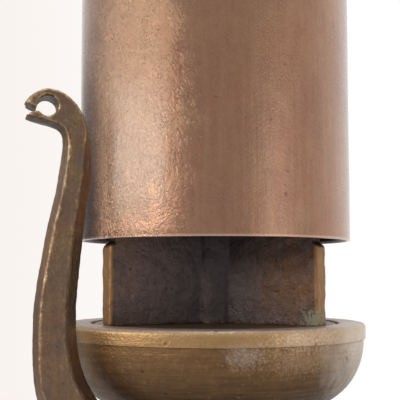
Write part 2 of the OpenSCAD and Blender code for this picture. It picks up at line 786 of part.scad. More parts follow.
// Point at t of the smooth curve that runs from b to c with neighbours a and d
function on_curve(a, b, c, d, t) =
    (2 * b + (c - a) * t + (2 * a - 5 * b + 4 * c - d) * t * t + (3 * b - a - 3 * c + d) * t * t * t) / 2;
function lever_point(i) = lever_points[max(0, min(len(lever_points) - 1, i))];
lever_edge = [for (i = [0 : len(lever_points) - 2]) for (s = [0 : edge_steps - 1])
    on_curve(lever_point(i - 1), lever_point(i), lever_point(i + 1), lever_point(i + 2), s / edge_steps),
    lever_points[len(lever_points) - 1]];
edge_count = len(lever_edge);
function edge_along(i) =
    let (v = lever_edge[min(edge_count - 1, i + 1)] - lever_edge[max(0, i - 1)])
    [v[0], v[1]] / norm([v[0], v[1]]);
// Edge point drawn in by a share of its own amount, toward the inside of the lever
function drawn_in(i, share) =
    let (p = lever_edge[i], v = edge_along(i), d = share * p[2]) [p[0] + v[1] * d, p[1] - v[0] * d];

module lever_loft() {
    flat_t = 3;
    face_edge = 1.2;
    // Distance from the middle plane, and share of the draw-in there: the last step rounds the face's edge
    half = [[flat_t / 2, 0], [lever_t / 2 - face_edge, 0.84], [lever_t / 2, 1.12]];
    levels = concat([for (k = [2 : -1 : 0]) [-half[k][0], half[k][1]]], half);
    last = len(levels) - 1;
    points = [for (level = levels) for (i = [0 : edge_count - 1])
        let (q = drawn_in(i, level[1])) [q[0], lever_offset + level[0], q[1]]];
    walls = [for (k = [0 : last - 1]) for (i = [0 : edge_count - 1])
        let (j = (i + 1) % edge_count, a = k * edge_count, b = a + edge_count)
        each [[a + i, b + i, a + j], [a + j, b + i, b + j]]];
    // Each face is a ladder between the lever's two edges
    back = [for (i = [0 : edge_count / 2 - 2])
        let (k = edge_count - 1 - i) each [[i, i + 1, k], [i + 1, k - 1, k]]];
    front = [for (f = back) [f[2], f[1], f[0]] + [1, 1, 1] * last * edge_count];
    polyhedron(points, concat(walls, back, front));
}

eye_out = bell_r + 22.1;
eye_z = lip_z + 65.4;
module hook_opening() {
    through_y = lever_offset - lever_t / 2 - 1;
    translate([eye_out, through_y, eye_z]) rotate([-90, 0, 0]) cylinder(h = lever_t + 2, d = eye_d);
    translate([eye_out, lever_offset + lever_t / 2 + 1, eye_z - 1.6]) rotate([90, 0, 0])
        linear_extrude(lever_t + 2) polygon([[0, hook_gap / 2], [7.6, hook_gap / 2], [10.5, 2.8], [18, 8],
            [18, -9], [10.7, -3.4], [6.6, -hook_gap / 2], [0, -hook_gap / 2]]);
}

module lever() {
    color(dark_bronze) side() difference() {
        union() {
            lever_loft();
            along_shaft(lever_back_y, lever_front_y, lever_hub_d);
        }
        hook_opening();
        translate([shaft_out - square_w / 2 - fixed_fit, lever_back_y - 1, shaft_z - square_w / 2 - fixed_fit])
            cube([square_w + 2 * fixed_fit, lever_t + 4, square_w + 2 * fixed_fit]);
    }
}

module shaft_washer() {
    color(steel) side() difference() {
        along_shaft(lever_front_y, lever_front_y + shaft_washer_t, shaft_washer_d);
        along_shaft(lever_front_y - 1, lever_front_y + shaft_washer_t + 1, shaft_thread_d + 2 * fixed_fit);
    }
}

module shaft_nut() {
    nut_y = lever_front_y + shaft_washer_t;
    color(steel) side() difference() {
        on_shaft(nut_y) hexagon(shaft_nut_h, shaft_nut_af);
        along_shaft(nut_y - 1, nut_y + shaft_nut_h + 1, shaft_thread_d + 2 * fixed_fit);
    }
}

valve_body();
seat_ring();
spring_cap();
spring_cap_gasket();
end_plug();
end_plug_gasket();
valve_spring();
rear_bushing();
shaft_packing();
gland_follower();
gland_ring();
bowl();
stud_spider();
languid_disc();
center_stud();
chime_partition();
middle_chamber_plate();
short_chamber_plate();
bell_tube();
bell_top();
top_washer();
top_nut();
acorn_nut();
valve_stem();
valve_disc();
disc_facing();
disc_nut();
rock_shaft();
valve_toe();
toe_pin();
lever();
shaft_washer();
shaft_nut();
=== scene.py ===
# %% [markdown]
# # Dressing a three-note steam whistle
#
# The whistle is a set of bronze castings and one long drawn tube. The solids already exist: they are
# loaded as a fixed frame, and this file gives them the surfaces that a hundred years of steam, hands
# and polish leave behind. Castings get rounded edges and a sandy skin, the bell gets faint dents and
# brush marks, and the valve gets machined steel and brass.

# %% Load the frame
import json
import math

import bmesh
import bpy
import numpy as np
from mathutils import Matrix, Vector, noise


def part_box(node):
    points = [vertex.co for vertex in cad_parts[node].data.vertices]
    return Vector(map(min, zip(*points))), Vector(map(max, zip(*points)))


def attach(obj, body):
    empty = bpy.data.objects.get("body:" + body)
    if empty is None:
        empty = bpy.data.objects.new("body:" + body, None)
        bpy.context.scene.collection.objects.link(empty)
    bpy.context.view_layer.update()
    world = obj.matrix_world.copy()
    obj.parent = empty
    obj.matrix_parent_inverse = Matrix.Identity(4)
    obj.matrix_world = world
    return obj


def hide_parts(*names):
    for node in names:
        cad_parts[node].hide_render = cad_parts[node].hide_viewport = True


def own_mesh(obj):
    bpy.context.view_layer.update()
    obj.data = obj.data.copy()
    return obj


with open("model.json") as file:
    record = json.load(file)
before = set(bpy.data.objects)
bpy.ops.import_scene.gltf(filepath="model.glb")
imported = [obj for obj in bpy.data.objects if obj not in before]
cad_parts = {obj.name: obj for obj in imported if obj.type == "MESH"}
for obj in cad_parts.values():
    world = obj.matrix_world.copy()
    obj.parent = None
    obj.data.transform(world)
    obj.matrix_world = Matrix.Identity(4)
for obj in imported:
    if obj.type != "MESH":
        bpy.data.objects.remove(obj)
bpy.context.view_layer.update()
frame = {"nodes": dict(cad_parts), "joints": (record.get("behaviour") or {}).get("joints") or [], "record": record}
nodes = frame["nodes"]
mm = 0.001

# %% [markdown]
# ## Measures
#
# Everything that is built here stands on the frame, so its sizes are read from the nodes' boxes.
# The valve slides on a line that is turned about the upright axis, and its joint gives that line.

# %% Read sizes from the frame
bell_low, bell_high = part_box("bell_tube")
bell_r = (bell_high.x - bell_low.x) / 2
lip_z = bell_low.z
bell_top_z = bell_high.z
bowl_low, bowl_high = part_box("bowl")
rim_r = (bowl_high.x - bowl_low.x) / 2
rim_z = bowl_high.z
languid_low, languid_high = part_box("languid_disc")
languid_r = (languid_high.x - languid_low.x) / 2
joints = {joint["name"]: joint for joint in frame["joints"]}
inward = Vector(joints["valve_slide"]["axis"]).normalized()
print(f"bell {2 * bell_r / mm:.1f} mm, mouth {(lip_z - rim_z) / mm:.1f} mm")

# %% [markdown]
# ## Camera
#
# The photograph was taken close to the whistle, a little below the bell's lip and looking slightly
# up, so both the lip and the bowl's rim show as shallow curves. Matching that viewpoint first makes
# every later comparison fair. The focal length comes from the width of the frame in pixels.

# %% Place the camera
photo_px = 400
focal_px = 894.07
sensor_mm = 36
camera_away = 509.3 * mm
camera_below_lip = 18.5 * mm
camera_pitch = math.radians(4.762)
camera_yaw = math.radians(0.93)

camera_data = bpy.data.cameras.new("photo_camera")
camera_data.sensor_width = sensor_mm
camera_data.lens = focal_px / photo_px * sensor_mm
camera = bpy.data.objects.new("photo_camera", camera_data)
camera.location = (0, -camera_away, lip_z - camera_below_lip)
camera.rotation_euler = (math.pi / 2 + camera_pitch, 0, camera_yaw)
bpy.context.scene.collection.objects.link(camera)
bpy.context.scene.camera = camera
print(f"lens {camera_data.lens:.1f} mm")

# %% [markdown]
# ## Node helpers
#
# Shader trees get long when every link is spelled out. A few helpers keep them readable: `put` adds
# a node and fills its sockets with either numbers or other nodes' outputs, and `group_of` starts a
# reusable group with named inputs and outputs.

# %% Nodes and their sockets
def fill(tree, socket, value):
    """Link another node's output to a socket, or type a plain value on it."""
    if isinstance(value, bpy.types.NodeSocket):
        tree.links.new(value, socket)
    else:
        socket.default_value = value


def put(tree, kind, sockets=None, **settings):
    """Add a node; sockets maps an input's name or number to a value or to another node's output."""
    node = tree.nodes.new("ShaderNode" + kind)
    for setting, value in settings.items():
        setattr(node, setting, value)
    for key, value in (sockets or {}).items():
        fill(tree, node.inputs[key], value)
    return node


# %% Values, vectors and colours
def math_of(tree, operation, a, b):
    """Output of a Math node."""
    return put(tree, "Math", {0: a, 1: b}, operation=operation).outputs[0]


def times(tree, a, b):
    """Product of two values."""
    return math_of(tree, "MULTIPLY", a, b)


def summed(tree, *parts):
    """Sum of (value, weight) pairs."""
    total = None
    for value, weight in parts:
        share = times(tree, value, weight)
        total = share if total is None else math_of(tree, "ADD", total, share)
    return total


def ramp(tree, value, low, high, to_low=0.0, to_high=1.0):
    """Value taken from low..high to to_low..to_high and kept within them."""
    sockets = {"Value": value, "From Min": low, "From Max": high, "To Min": to_low, "To Max": to_high}
    return put(tree, "MapRange", sockets).outputs["Result"]


def vector_of(tree, operation, a, b):
    """Vector that a Vector Math node makes of two others."""
    return put(tree, "VectorMath", {0: a, 1: b}, operation=operation).outputs[0]


def length_of(tree, vector):
    return put(tree, "VectorMath", {0: vector}, operation="LENGTH").outputs["Value"]


def split(tree, vector):
    """The vector's X, Y and Z."""
    return put(tree, "SeparateXYZ", {0: vector}).outputs


def place_on_piece(tree):
    """Position in the piece's own frame, which keeps to the piece when it moves."""
    return put(tree, "TexCoord").outputs["Object"]


def noise_of(tree, place, size, **sockets):
    """Outputs of a noise texture whose lumps are about `size` across."""
    scale = math_of(tree, "DIVIDE", 1.0, size)
    return put(tree, "TexNoise", {"Vector": place, "Scale": scale, **sockets}).outputs


def paint(red, green, blue):
    """Linear colour with full alpha."""
    return (red, green, blue, 1)


def mixed(tree, mask, a, b, share=1.0):
    """Colour a where the mask is 0 and b where it is 1, b with at most the given share."""
    if share != 1.0:
        mask = times(tree, mask, share)
    return put(tree, "Mix", {"Factor": mask, 6: a, 7: b}, data_type="RGBA").outputs[2]


def layered(tree, color, *layers):
    """Colour under layers, each a (mask, colour) or a (mask, colour, share). The last lies on top."""
    for mask, over, *share in layers:
        color = mixed(tree, mask, color, over, *share)
    return color


# %% Groups
def group_of(name, inputs, outputs):
    """Start a node group. Returns the tree, its inputs as a dictionary and its output node."""
    tree = bpy.data.node_groups.new(name, "ShaderNodeTree")
    for label, default in inputs.items():
        kind = "NodeSocketVector" if isinstance(default, tuple) else "NodeSocketFloat"
        socket = tree.interface.new_socket(name=label, in_out="INPUT", socket_type=kind)
        socket.default_value = default
    for label in outputs:
        tree.interface.new_socket(name=label, in_out="OUTPUT", socket_type="NodeSocketFloat")
    start = tree.nodes.new("NodeGroupInput")
    end = tree.nodes.new("NodeGroupOutput")
    return tree, {label: start.outputs[label] for label in inputs}, end


def finish_group(tree, end, results):
    """Link each result to the group's output of that name."""
    for label, socket in results.items():
        tree.links.new(socket, end.inputs[label])
    print("group", tree.name, "gives", ", ".join(results))
    return tree


def use(tree, group, **values):
    """Place a group in a material and give its inputs their values. Returns its outputs."""
    node = tree.nodes.new("ShaderNodeGroup")
    node.node_tree = group
    for label, value in values.items():
        fill(tree, node.inputs[label], value)
    return node.outputs


# %% [markdown]
# ## Shared effects
#
# Old bronze is never one colour. A few effects make most of what the eye reads as age, and each is a
# group, so a material only says how large and how strong it is.
#
# Clouds are broad, soft patches where the patina is browner or redder. They are plain noise with its
# grey middle stretched to a mask.

# %% Clouds
def make_clouds():
    """Soft patches. Shift moves them, so that two uses in one material differ."""
    inputs = {"Size": 20 * mm, "Detail": 4.0, "Shift": (0.0, 0.0, 0.0)}
    tree, given, end = group_of("clouds", inputs, ["Mask"])
    moved = vector_of(tree, "ADD", place_on_piece(tree), given["Shift"])
    cloud = noise_of(tree, moved, given["Size"], Detail=given["Detail"], Roughness=0.6)
    return finish_group(tree, end, {"Mask": ramp(tree, cloud["Fac"], 0.33, 0.67)})


clouds = make_clouds()

# %% [markdown]
# Grain is fine marks stretched along one direction, as a lathe or a brush leaves. Squeezing the
# noise's coordinates stretches its lumps. The marks can also swirl round the upright axis, like those
# of a hand that worked round a tube: turning each height by its own angle does that.

# %% Grain
def make_grain():
    """Stretch is the marks' relative frequency along X, Y and Z. Swirl is in radians per metre of height."""
    inputs = {"Size": 1 * mm, "Stretch": (1.0, 1.0, 0.1), "Swirl": 0.0, "Low": 0.35, "High": 0.65}
    tree, given, end = group_of("grain", inputs, ["Mask", "Height"])
    place = place_on_piece(tree)
    swirl = times(tree, split(tree, place)["Z"], given["Swirl"])
    wound = put(tree, "VectorRotate", {"Vector": place, "Angle": swirl}, rotation_type="Z_AXIS").outputs[0]
    squeezed = vector_of(tree, "MULTIPLY", wound, given["Stretch"])
    marks = noise_of(tree, squeezed, given["Size"], Detail=3.0)
    sharp = ramp(tree, marks["Fac"], given["Low"], given["High"])
    return finish_group(tree, end, {"Mask": sharp, "Height": marks["Fac"]})


grain = make_grain()

# %% [markdown]
# Pits are small round holes from the sand mould or from corrosion. Voronoi cells give each hole its
# own place, a random channel of the cell's colour picks which cells have one, and a little noise
# bends them out of round.

# %% Pits
def make_pits():
    """Round holes: Size is their spacing and Share is how many of the cells have one."""
    tree, given, end = group_of("pits", {"Size": 3 * mm, "Share": 0.5, "Radius": 0.3}, ["Mask", "Height"])
    place = place_on_piece(tree)
    wobble = put(tree, "TexNoise", {"Vector": place, "Scale": 900.0, "Detail": 2.0})
    bent = put(tree, "VectorMath", {0: wobble.outputs["Color"], "Scale": 0.6 * mm}, operation="SCALE")
    moved = vector_of(tree, "ADD", place, bent.outputs[0])
    scale = math_of(tree, "DIVIDE", 1.0, given["Size"])
    cells = put(tree, "TexVoronoi", {"Vector": moved, "Scale": scale}).outputs
    luck = put(tree, "SeparateColor", {0: cells["Color"]}).outputs[0]
    chosen = math_of(tree, "LESS_THAN", luck, given["Share"])
    hole = times(tree, ramp(tree, cells["Distance"], given["Radius"], 0.0), chosen)
    return finish_group(tree, end, {"Mask": hole, "Height": math_of(tree, "SUBTRACT", 1.0, hole)})


pits = make_pits()

# %% [markdown]
# A spot is one ragged patch at a chosen place, such as a rubbed shine or green copper salt. It is an
# ellipsoid whose border wanders with noise. The materials place it with `patch_on`, in millimetres
# from a height that the frame gives.

# %% Spot
def make_spot():
    """One patch. Reach is its half size along X, Y and Z, and Ragged is how much its border wanders."""
    inputs = {"Centre": (0.0, 0.0, 0.0), "Reach": (5 * mm, 5 * mm, 5 * mm), "Ragged": 0.8, "Grit": 2 * mm}
    tree, given, end = group_of("spot", inputs, ["Mask"])
    place = place_on_piece(tree)
    moved = vector_of(tree, "SUBTRACT", place, given["Centre"])
    away = length_of(tree, vector_of(tree, "DIVIDE", moved, given["Reach"]))
    border = noise_of(tree, place, given["Grit"], Detail=4.0, Roughness=0.65)
    centred = math_of(tree, "SUBTRACT", border["Fac"], 0.5)
    wander = times(tree, centred, times(tree, given["Ragged"], 3.0))
    return finish_group(tree, end, {"Mask": ramp(tree, math_of(tree, "ADD", away, wander), 1.0, 0.35)})


spot = make_spot()


def patch_on(tree, base_z, centre, reach, ragged, grit=2.0):
    """Mask of one spot. Centre, half size and grit are in mm, the centre's height from base_z."""
    x, y, z = centre
    return use(tree, spot, Centre=(x * mm, y * mm, base_z + z * mm), Reach=tuple(r * mm for r in reach),
               Ragged=ragged, Grit=grit * mm)["Mask"]


# %% [markdown]
# Zones tell the outside of a tube from its inside, and a foot from a top. One mask rises with the
# distance from the upright axis and the other with height, so both come from one function.

# %% Zones
def make_zone(name, measure):
    """Mask from 0 at Near to 1 at Far. The measure takes the position's node output to a distance."""
    tree, given, end = group_of(name, {"Near": 0.0, "Far": 0.1}, ["Mask"])
    distance = measure(tree, place_on_piece(tree))
    return finish_group(tree, end, {"Mask": ramp(tree, distance, given["Near"], given["Far"])})


def axis_distance(tree, place):
    return length_of(tree, vector_of(tree, "MULTIPLY", place, (1.0, 1.0, 0.0)))


def height_above(tree, place):
    return split(tree, place)["Z"]


from_axis = make_zone("zone from axis", axis_distance)
from_floor = make_zone("zone from floor", height_above)

# %% [markdown]
# Edge wear is bright metal where hands and spanners rub, broken up by noise, and dirt in the corners.
# It reads a value named `edge` that the meshes carry. That is measured later from the mesh itself, so
# it works the same from every side.

# %% Edge wear
def make_edge_wear():
    """Worn is 1 on rubbed edges, Dirt is 1 in corners. Breakup is the size of the gaps in the wear."""
    inputs = {"Start": 0.03, "Full": 0.12, "Breakup": 4 * mm, "Broken": 0.5}
    tree, given, end = group_of("edge wear", inputs, ["Worn", "Dirt"])
    edge = put(tree, "Attribute", attribute_name="edge").outputs["Fac"]
    chips = noise_of(tree, place_on_piece(tree), given["Breakup"], Detail=5.0, Roughness=0.7)
    strength = times(tree, math_of(tree, "SUBTRACT", chips["Fac"], 0.5), given["Broken"])
    lifted = math_of(tree, "ADD", edge, times(tree, strength, given["Full"]))
    worn = ramp(tree, lifted, given["Start"], given["Full"])
    dirt = ramp(tree, times(tree, edge, -1.0), given["Start"], given["Full"])
    return finish_group(tree, end, {"Worn": worn, "Dirt": dirt})


edge_wear = make_edge_wear()

# %% [markdown]
# ## Finishes
#
# Each finish is one function with its own Principled shader. Aged bronze is metal under a thin film
# of oxide and old polish. Metallic stays near 1, the film shows as a browner colour in patches, and
# on the bell a clear coat carries the pale, sharper part of its highlight. The groups drive colour,
# roughness and the bump's height, and numbers that never change over the surface are typed on the
# shader's own sockets.

# %% Start a material and feed its shader
def start_material(name):
    material = bpy.data.materials.new(name)
    material.use_nodes = True
    tree = material.node_tree
    shader = tree.nodes["Principled BSDF"]
    return material, tree, shader


def feed(tree, shader, color, roughness, height, relief, metallic=1.0):
    """Give a shader its colour, roughness, share of metal and bump. Relief is the bump's depth."""
    bump = put(tree, "Bump", {"Height": height, "Distance": relief})
    inputs = {"Base Color": color, "Roughness": roughness, "Metallic": metallic, "Normal": bump.outputs[0]}
    for label, value in inputs.items():
        fill(tree, shader.inputs[label], value)


def coat(tree, shader, weight, roughness):
    """Thin clear film over the metal."""
    fill(tree, shader.inputs["Coat Weight"], weight)
    fill(tree, shader.inputs["Coat Roughness"], roughness)


# %% [markdown]
# The bell's sheet is copper-brown and was hatched by hand with a fine abrasive, so two sets of marks
# cross at a slant. The part towards the viewer's left, where the key lamp's highlight falls, is partly
# a scoured patch and partly a painted highlight, paler and more golden. Next to the lever a dark patch
# is painted shade for the lever's reflection, a pale line along the lip's bevel is a painted highlight,
# and the inside is dull with soot.

# %% Bell: copper-brown tube, hatched by hand with a fine abrasive
def bell_finish():
    material, tree, shader = start_material("bell_copper")
    broad = use(tree, clouds, Size=50 * mm, Detail=3.0)["Mask"]
    small = use(tree, clouds, Size=10 * mm, Detail=6.0, Shift=(0.3, 0.1, 0.0))["Mask"]
    rose = use(tree, clouds, Size=28 * mm, Detail=3.0, Shift=(0.7, 0.2, 0.5))["Mask"]
    gilt = use(tree, clouds, Size=22 * mm, Detail=4.0, Shift=(0.1, 0.9, 0.2))["Mask"]
    streaks = use(tree, grain, Size=2.8 * mm, Stretch=(1, 1, 0.06), Low=0.38, High=0.70)
    hatch = use(tree, grain, Size=0.9 * mm, Stretch=(1, 1, 0.55), Swirl=8.0, Low=0.42, High=0.60)
    cross = use(tree, grain, Size=0.8 * mm, Stretch=(1, 1, 0.90), Swirl=-3.0, Low=0.42, High=0.62)
    # Scoured patch where the key lamp's highlight falls: partly rubbed metal, partly a painted highlight.
    scoured_with_painted_highlight = patch_on(tree, lip_z, (-44, -62, 66), (36, 50, 120), ragged=0.5, grit=12)
    scour_and_highlight_share = ramp(tree, scoured_with_painted_highlight, 0, 1, 0.30, 1.0)
    # Painted shade: a dark patch beside the lever stands in for its reflection on the sheet.
    painted_lever_shade = patch_on(tree, lip_z, (-69, -31, 24), (18, 31, 72), ragged=0.4, grit=12)
    holes = use(tree, pits, Size=7 * mm, Share=0.22, Radius=0.16)
    skin_side = use(tree, from_axis, Near=bell_r - 2.2 * mm, Far=bell_r - 1.2 * mm)["Mask"]
    above = use(tree, from_floor, Near=bell_top_z - 1 * mm, Far=bell_top_z)["Mask"]
    outside = math_of(tree, "MAXIMUM", skin_side, above)
    # Mask for a painted highlight: a pale line along the lip's bevel, where the floor's light catches it.
    lip = use(tree, from_floor, Near=lip_z + 1.6 * mm, Far=lip_z + 0.5 * mm)["Mask"]
    color = mixed(tree, broad, paint(0.420, 0.180, 0.095), paint(0.325, 0.134, 0.071))
    color = layered(
        tree, color,
        (rose, paint(0.360, 0.142, 0.098), 0.45),
        (gilt, paint(0.440, 0.270, 0.140), 0.45),
        (small, paint(0.240, 0.110, 0.072), 0.35),
        (streaks["Mask"], paint(0.460, 0.270, 0.175), 0.30),
        # Paler colour and brighter hatch marks in the scoured patch: partly a painted highlight.
        (scoured_with_painted_highlight, paint(0.470, 0.300, 0.180), 0.45),
        (times(tree, hatch["Mask"], scour_and_highlight_share), paint(0.600, 0.400, 0.260), 0.42),
        # Painted shade beside the lever.
        (painted_lever_shade, paint(0.110, 0.055, 0.042), 0.85),
        (holes["Mask"], paint(0.12, 0.060, 0.040), 0.7),
        # Painted highlight along the lip's bevel, outside only.
        (times(tree, lip, outside), paint(0.80, 0.500, 0.380), 0.8),
    )
    color = mixed(tree, outside, paint(0.080, 0.055, 0.050), color)
    rough = summed(tree, (small, 0.07), (cross["Mask"], 0.06), (hatch["Mask"], -0.05), (outside, -0.10))
    marks = summed(tree, (hatch["Height"], 0.8), (cross["Height"], 0.7))
    height = summed(tree, (marks, scour_and_highlight_share), (streaks["Height"], 0.25), (holes["Height"], 0.5))
    feed(tree, shader, color, math_of(tree, "ADD", rough, 0.29), height, relief=0.62 * mm)
    coat(tree, shader, weight=outside, roughness=0.22)
    return material


# %% [markdown]
# The bowl is a golden casting that was turned on a lathe, so rings run round its belly. Water ran down
# it, and ragged patches on its front and right side are rubbed bright; the palest, on the band, is
# partly a painted reflection. Its lower belly is painted dark as shade, its right side carries a broad
# painted reflection of the bright room, and its left end a greyer painted reflection. The band under
# the rim was polished, and its top face is less metallic and painted pinkish-grey, a painted reflection.

# %% Bowl: golden casting, turned, then dulled and rubbed in places
def bowl_finish():
    material, tree, shader = start_material("bowl_bronze")
    deep = paint(0.130, 0.070, 0.038)
    bright = paint(0.700, 0.470, 0.230)
    shine = paint(0.520, 0.430, 0.370)
    broad = use(tree, clouds, Size=30 * mm, Detail=5.0, Shift=(0.1, 0.4, 0.0))["Mask"]
    small = use(tree, clouds, Size=7 * mm, Detail=7.0, Shift=(0.5, 0.0, 0.2))["Mask"]
    runs = use(tree, grain, Size=6 * mm, Stretch=(1, 1, 0.35), Low=0.42, High=0.66)
    turned = use(tree, grain, Size=1.4 * mm, Stretch=(0.06, 0.06, 1), Low=0.35, High=0.65)
    skin = use(tree, grain, Size=1.3 * mm, Stretch=(1, 1, 1), Low=0.45, High=0.66)
    holes = use(tree, pits, Size=6 * mm, Share=0.30, Radius=0.22)
    wear = use(tree, edge_wear, Start=0.02, Full=0.09, Breakup=3 * mm, Broken=1.0)
    band = use(tree, from_axis, Near=rim_r - 0.9 * mm, Far=rim_r - 0.5 * mm)["Mask"]
    band_floor = use(tree, from_floor, Near=rim_z - 11 * mm, Far=rim_z - 9.5 * mm)["Mask"]
    # Painted reflection: the rim's top face is painted pinkish-grey and made less metallic.
    rim_top_painted_sheen = use(tree, from_floor, Near=rim_z - 1.7 * mm, Far=rim_z - 1.0 * mm)["Mask"]
    # Painted shade: the belly is painted dark brown towards the bottom.
    painted_low_belly_shade = use(tree, from_floor, Near=rim_z - 12 * mm, Far=rim_z - 36 * mm)["Mask"]
    patch = patch_on(tree, rim_z, (14, -81, -12), (12, 20, 7.5), ragged=0.9, grit=1.2)
    # Pale patch on the band: partly rubbed metal, partly a painted reflection.
    band_rub_and_painted_sheen = patch_on(tree, rim_z, (46, -70, -5), (26, 30, 6.5), ragged=0.8, grit=1.2)
    belly_patch = patch_on(tree, rim_z, (45, -70, -15), (26, 30, 9), ragged=1.0, grit=1.2)
    # Painted reflection: a broad pale sheen on the bowl's right side.
    painted_right_reflection = patch_on(tree, rim_z, (80, -30, -14), (34, 70, 40), ragged=0.25, grit=10)
    # Painted reflection: a greyer patch at the bowl's left end.
    painted_left_reflection = patch_on(tree, rim_z, (-78, -40, -16), (16, 50, 26), ragged=0.5)
    color = mixed(tree, broad, paint(0.300, 0.165, 0.068), paint(0.210, 0.110, 0.046))
    color = layered(
        tree, color,
        (runs["Mask"], paint(0.330, 0.160, 0.055), 0.40),
        (small, deep, 0.45),
        # Painted shade on the lower belly.
        (painted_low_belly_shade, paint(0.062, 0.032, 0.016), 0.90),
        (turned["Mask"], paint(0.380, 0.235, 0.110), 0.22),
        (times(tree, band, band_floor), paint(0.520, 0.320, 0.140), 0.80),
        # Painted reflection on the rim's top face.
        (rim_top_painted_sheen, paint(0.420, 0.310, 0.250), 0.9),
        (times(tree, skin["Mask"], small), deep, 0.30),
        # Painted reflection at the left end.
        (painted_left_reflection, paint(0.200, 0.165, 0.140), 0.7),
        # Painted reflection on the right side.
        (painted_right_reflection, paint(0.780, 0.680, 0.580), 0.85),
    )
    specks = ramp(tree, skin["Height"], 0.38, 0.62, 0.35, 1.0)
    color = layered(
        tree, color,
        (times(tree, patch, specks), shine, 0.62),
        # Partly a painted reflection on the band.
        (times(tree, band_rub_and_painted_sheen, specks), paint(0.820, 0.640, 0.500), 0.70),
        (times(tree, belly_patch, specks), paint(0.480, 0.330, 0.200), 0.65),
    )
    shiny = math_of(tree, "MAXIMUM", patch, math_of(tree, "MAXIMUM", band_rub_and_painted_sheen, belly_patch))
    below_top = math_of(tree, "SUBTRACT", 1.0, rim_top_painted_sheen)
    color = layered(
        tree, color,
        (times(tree, wear["Worn"], below_top), bright, 0.8),
        (wear["Dirt"], deep, 0.8),
        (holes["Mask"], paint(0.050, 0.028, 0.018), 0.7),
    )
    rough = math_of(tree, "ADD", 0.42, summed(tree, (small, 0.14), (shiny, -0.12), (band, -0.04)))
    height = summed(tree, (skin["Height"], 1.0), (turned["Height"], 0.6), (holes["Height"], 0.8),
                    (runs["Height"], 0.6))
    feed(tree, shader, color, rough, height, relief=0.35 * mm, metallic=ramp(tree, rim_top_painted_sheen, 0, 1, 1.0, 0.45))
    coat(tree, shader, weight=0.25, roughness=0.25)
    return material


# %% [markdown]
# The lever was cast in sand and its sides were left as cast. Its faces are grey-brown with a rusty
# tinge and its edges are rubbed to gold. Its undersides are painted dark as shade. The surface's own
# direction tells an underside: the mask reads how far the normal points down.

# %% Lever: sand-cast, gripped and rubbed
def lever_finish():
    material, tree, shader = start_material("lever_bronze")
    gold = paint(0.520, 0.310, 0.130)
    bright = paint(0.850, 0.650, 0.400)
    dark = paint(0.060, 0.040, 0.028)
    broad = use(tree, clouds, Size=20 * mm, Detail=5.0, Shift=(0.2, 0.6, 0.1))["Mask"]
    small = use(tree, clouds, Size=4.5 * mm, Detail=7.0, Shift=(0.9, 0.3, 0.4))["Mask"]
    rust = use(tree, clouds, Size=14 * mm, Detail=4.0, Shift=(0.4, 0.8, 0.7))["Mask"]
    streaks = use(tree, grain, Size=3.5 * mm, Stretch=(1, 1, 0.12), Low=0.40, High=0.66)
    skin = use(tree, grain, Size=1.1 * mm, Stretch=(1, 1, 0.7), Low=0.50, High=0.68)
    holes = use(tree, pits, Size=3.5 * mm, Share=0.5, Radius=0.26)
    wear = use(tree, edge_wear, Start=0.045, Full=0.17, Breakup=2.2 * mm, Broken=1.7)
    color = mixed(tree, broad, paint(0.250, 0.165, 0.100), paint(0.165, 0.120, 0.105))
    color = layered(
        tree, color,
        (streaks["Mask"], paint(0.330, 0.200, 0.085), 0.55),
        (rust, paint(0.240, 0.105, 0.055), 0.45),
        (small, paint(0.110, 0.080, 0.068), 0.35),
        (times(tree, skin["Mask"], ramp(tree, broad, 0.2, 1.0, 0.5, 0.1)), gold, 0.6),
        (wear["Worn"], mixed(tree, small, bright, gold)),
        (wear["Dirt"], dark, 0.85),
    )
    facing = split(tree, put(tree, "NewGeometry").outputs["Normal"])["Z"]
    # Painted shade on the faces that point down.
    painted_underside_shade = ramp(tree, facing, -0.30, -0.70)
    color = layered(
        tree, color,
        # Painted shade on the undersides.
        (painted_underside_shade, dark, 0.75),
        (holes["Mask"], dark, 0.65),
    )
    rough = math_of(tree, "ADD", 0.44, summed(tree, (small, 0.14), (wear["Worn"], -0.12)))
    height = summed(tree, (skin["Height"], 1.0), (holes["Height"], 0.7), (streaks["Height"], 0.8))
    feed(tree, shader, color, rough, height, relief=0.3 * mm, metallic=0.95)
    coat(tree, shader, weight=0.25, roughness=0.35)
    return material


# %% [markdown]
# The partition stands in wet steam. It is red-brown on its right wing and golden along the outer edges
# of the wings, where it was fettled and fits the bell. It is painted dark as shade towards its hub, deep
# in the mouth, and low on the wings' feet. Copper salt grows green in the corners at the wings' feet.

